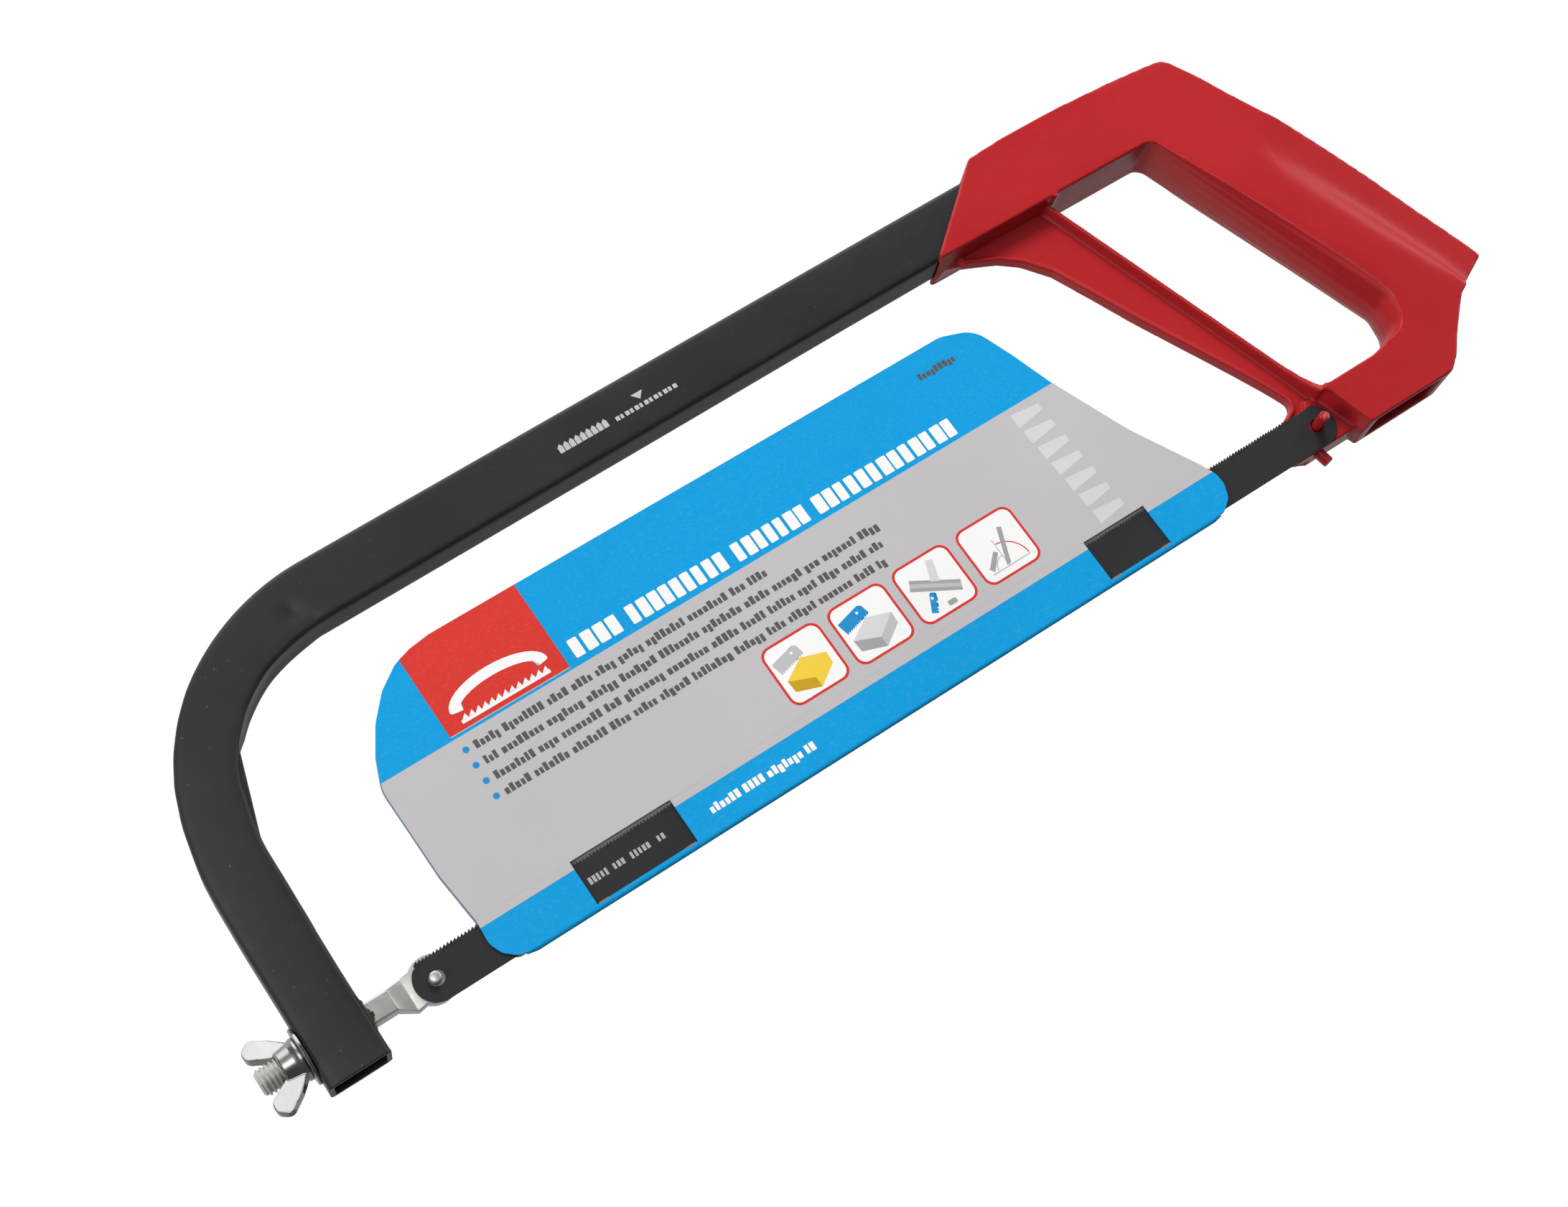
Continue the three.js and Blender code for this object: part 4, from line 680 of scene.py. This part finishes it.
    pr.add(steel_ink, [(x + 8.4, 13.2), (x + 12.6, 24.2), (x + 13.9, 23.6), (x + 9.8, 13.2)], .05); pr.add(steel_ink, [(x + 4.2, 13.2), (x + 8.4, 17.6), (x + 7.4, 18.6), (x + 3.2, 14.6)], .05)
    # faint band of tooth shapes near the slanted edge
    ghost = m_card("ink_ghost", (0.63, 0.63, 0.66))
    for i in range(7):
        z = 9.0 + i * 6.1; xo = 225.2 - (z - 9) * 0.06
        pr.add(ghost, [(xo, z), (xo + 9.5, z + 1.4), (xo + 9.5, z + 3.6), (xo, z + 4.6)], .033)
    # strips under the windows: the raw board ends and the printed band are made further down; this loop draws nothing
    for a, b, m_ in ((48.2, 72, blue), (220.7, 235.5, blue)): pass
    objs = pr.build()
    for o in [front] + objs:
        for vv in o.data.vertices: vv.co.y += sway(vv.co.x / MM, vv.co.z / MM) * MM * (1 if vv.co.z > 0.008 else 0)
    for vv in back.data.vertices:
        x, z = vv.co.x / MM, vv.co.z / MM; vv.co.y += (sway(x, z) * 0.8 - 0.45 * max(0, min(1, (z - 8) / 22))) * MM if z > 8 else 0
    objs2 = [front, back, fold] + objs
    # torn board ends of the window flaps, and the flap band that shows under the blade
    ends = []
    for a, b in ((44.9, 48.2), (72.0, 75.6), (217.4, 220.7), (235.5, 238.7)):
        ends.append(plate("raw", [rounded([(a, -6.9, .3), (b, -6.9, .3), (b, -6.05, .3), (a, -6.05, .3)], 2)], Y_FRONT + .02, Y_FRONT + LEAF - .04, raw, 0.05))
    for a, b in ((48.2, 72.0), (220.7, 235.5)):
        ends.append(plate("band", [[(a, -6.95), (b, -6.95), (b, -6.2), (a, -6.2)]], Y_FRONT + .01, Y_FRONT + LEAF - .04, blue, 0.04))
    o = join("vis_card_sleeve", objs2 + ends)
    ride(o, "card"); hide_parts("card_sleeve"); return o

build_tube(); build_handle(); build_pins(); build_blade(); build_bolt(); build_nut(); build_card()

# ------------------------------------------------------------------ floor, light, camera
def build_floor():
    me = bpy.data.meshes.new("floor"); bm = bmesh.new()
    s = 3.0; N = 8
    for i in range(N):
        for j in range(N):
            q = [(-s + 2 * s * (i + a) / N - 0.14, -s + 2 * s * (j + b) / N, (LEG_Z0 - 0.6) * MM + OFF.z) for a, b in ((0, 0), (1, 0), (1, 1), (0, 1))]
            bm.faces.new([bm.verts.new(p) for p in q])
    bmesh.ops.remove_doubles(bm, verts=bm.verts, dist=1e-6); bm.to_mesh(me); bm.free()
    o = bpy.data.objects.new("floor", me); bpy.context.scene.collection.objects.link(o)
    m = NT("floor"); n = m.noise(3, 3)
    m.set(Base_Color=m.mix(n, (0.80, 0.80, 0.80), (0.84, 0.84, 0.84)), Roughness=0.75, Specular_IOR_Level=0.2)
    lp = m.t.nodes.new("ShaderNodeLightPath"); m.val(m.bsdf.inputs["Base Color"], m.mix(lp.outputs["Is Camera Ray"], (0.36, 0.36, 0.36), m.mix(n, (0.45, 0.45, 0.45), (0.48, 0.48, 0.48)))); m.val(m.bsdf.inputs["Emission Color"], (1, 1, 1)); m.val(m.bsdf.inputs["Emission Strength"], 0.48)
    tr = m.t.nodes.new("ShaderNodeBsdfTransparent"); mx = m.t.nodes.new("ShaderNodeMixShader"); ge = m.t.nodes.new("ShaderNodeNewGeometry")
    m.link(m.math("MAXIMUM", ge.outputs["Backfacing"], m.math("SUBTRACT", 1.0, lp.outputs["Is Camera Ray"])), mx.inputs[0]); m.link(m.bsdf.outputs[0], mx.inputs[1]); m.link(tr.outputs[0], mx.inputs[2]); m.link(mx.outputs[0], m.out.inputs[0])
    me.materials.append(m.mat)
build_floor()

def build_world():
    w = bpy.data.worlds.new("studio"); bpy.context.scene.world = w; w.use_nodes = True; t = w.node_tree; t.nodes.clear()
    out = t.nodes.new("ShaderNodeOutputWorld"); tc = t.nodes.new("ShaderNodeTexCoord"); L = t.links
    def mth(op, a, b=0.0, c=0.0, clamp=False):
        n = t.nodes.new("ShaderNodeMath"); n.operation = op; n.use_clamp = clamp
        for i, q in enumerate((a, b, c)):
            if isinstance(q, bpy.types.NodeSocket): L.new(q, n.inputs[i])
            else: n.inputs[i].default_value = q
        return n.outputs[0]
    nz = t.nodes.new("ShaderNodeVectorMath"); nz.operation = "NORMALIZE"; L.new(tc.outputs["Generated"], nz.inputs[0])
    sp = t.nodes.new("ShaderNodeSeparateXYZ"); L.new(nz.outputs[0], sp.inputs[0]); X, Y, Z = sp.outputs
    def smooth(v, a, b, c, d):
        n = t.nodes.new("ShaderNodeMapRange"); n.interpolation_type = "SMOOTHSTEP"; L.new(v, n.inputs[0])
        for i, q in enumerate((a, b, c, d)): n.inputs[i + 1].default_value = q
        return n.outputs[0]
    def lobe(d, inner, outer, power):
        l = math.sqrt(sum(c * c for c in d)); dp = t.nodes.new("ShaderNodeVectorMath"); dp.operation = "DOT_PRODUCT"; L.new(nz.outputs[0], dp.inputs[0]); dp.inputs[1].default_value = [c / l for c in d]
        return smooth(dp.outputs["Value"], math.cos(math.radians(outer)), math.cos(math.radians(inner)), 0, power)
    table = smooth(Y, -0.10, 0.25, ROOM, TABLE_L)          # pale table behind, dimmer room in front
    low = smooth(Z, -0.75, 0.1, LOW, 1.0)
    lum = mth("MULTIPLY", table, low)
    for d, i, o, p in BOXES: lum = mth("ADD", lum, lobe(d, i, o, p))
    lum = mth("MULTIPLY", lum, mth("SUBTRACT", 1.0, lobe((0.46, -0.85, 0.27), 14, 34, 0.6)))
    bg = t.nodes.new("ShaderNodeBackground"); L.new(lum, bg.inputs[1]); bg.inputs[0].default_value = (1, 0.995, 0.985, 1)
    wh = t.nodes.new("ShaderNodeBackground"); wh.inputs[0].default_value = (1, 1, 1, 1); wh.inputs[1].default_value = 1.0
    lp = t.nodes.new("ShaderNodeLightPath"); mx = t.nodes.new("ShaderNodeMixShader")
    L.new(lp.outputs["Is Camera Ray"], mx.inputs[0]); L.new(bg.outputs[0], mx.inputs[1]); L.new(wh.outputs[0], mx.inputs[2]); L.new(mx.outputs[0], out.inputs[0])
ROOM, TABLE_L, LOW = 0.14, 0.52, 0.45
BOXES = [((-0.22, -0.95, 0.10), 6, 18, 1.6), ((-0.30, -0.90, 0.20), 14, 34, 0.35), ((0.90, -0.38, 0.10), 16, 32, 1.0), ((0.25, -0.28, 0.95), 20, 40, 1.3)]
build_world()

def build_key():
    li = bpy.data.lights.new("key", "AREA"); li.shape = "RECTANGLE"; li.size, li.size_y = 0.55, 0.45; li.energy = KEY_W; li.color = (1, 0.995, 0.985)
    o = bpy.data.objects.new("key", li); bpy.context.scene.collection.objects.link(o)
    at = Vector((0.42, -0.95, 0.82)); to = Vector((0.02, 0, -0.03)); o.location = at; o.rotation_euler = (to - at).to_track_quat("-Z", "Y").to_euler(); o.visible_camera = False; o.visible_glossy = False
KEY_W = 15.4
build_key()

def build_fill():
    """a weak broad light from the left that leaves no reflection, for the inner faces"""
    li = bpy.data.lights.new("fill", "AREA"); li.shape = "RECTANGLE"; li.size, li.size_y = 0.7, 0.6; li.energy = 5.0; li.color = (1, 0.995, 0.985)
    o = bpy.data.objects.new("fill", li); bpy.context.scene.collection.objects.link(o)
    at = Vector((-1.05, -0.35, 0.05)); to = Vector((0.0, 0, -0.03)); o.location = at; o.rotation_euler = (to - at).to_track_quat("-Z", "Y").to_euler(); o.visible_camera = False; o.visible_glossy = False
build_fill()

def rodrigues(r):
    r = np.array(r, float); th = np.linalg.norm(r); k = r / th; K = np.array([[0, -k[2], k[1]], [k[2], 0, -k[0]], [-k[1], k[0], 0]])
    return np.eye(3) + math.sin(th) * K + (1 - math.cos(th)) * K @ K
def build_camera():
    c31, s31 = math.cos(math.radians(31)), math.sin(math.radians(31))
    R = rodrigues([-0.3799002836, -0.1362347826, -0.0410958675]) @ np.array([[c31, 0, -s31], [-s31, 0, -c31], [0, 1, 0]]); T = np.array([-88.5483552, 96.0614956, 599.7347546])
    C = -R.T @ T * MM
    cam = bpy.data.cameras.new("camera"); o = bpy.data.objects.new("camera", cam); bpy.context.scene.collection.objects.link(o)
    M = Matrix.Identity(4)
    for i in range(3): M[i][0], M[i][1], M[i][2], M[i][3] = R[0][i], -R[1][i], -R[2][i], C[i] + OFF[i]
    o.matrix_world = M; cam.sensor_fit = "HORIZONTAL"; cam.sensor_width = 36; cam.lens = 3273.70 / 2184 * 36; cam.clip_start = 0.01; cam.clip_end = 50
    bpy.context.scene.camera = o
build_camera()
sc = bpy.context.scene
sc.view_settings.view_transform = "Standard"; sc.view_settings.look = "None"; sc.view_settings.exposure = 0.0; sc.view_settings.gamma = 1.0
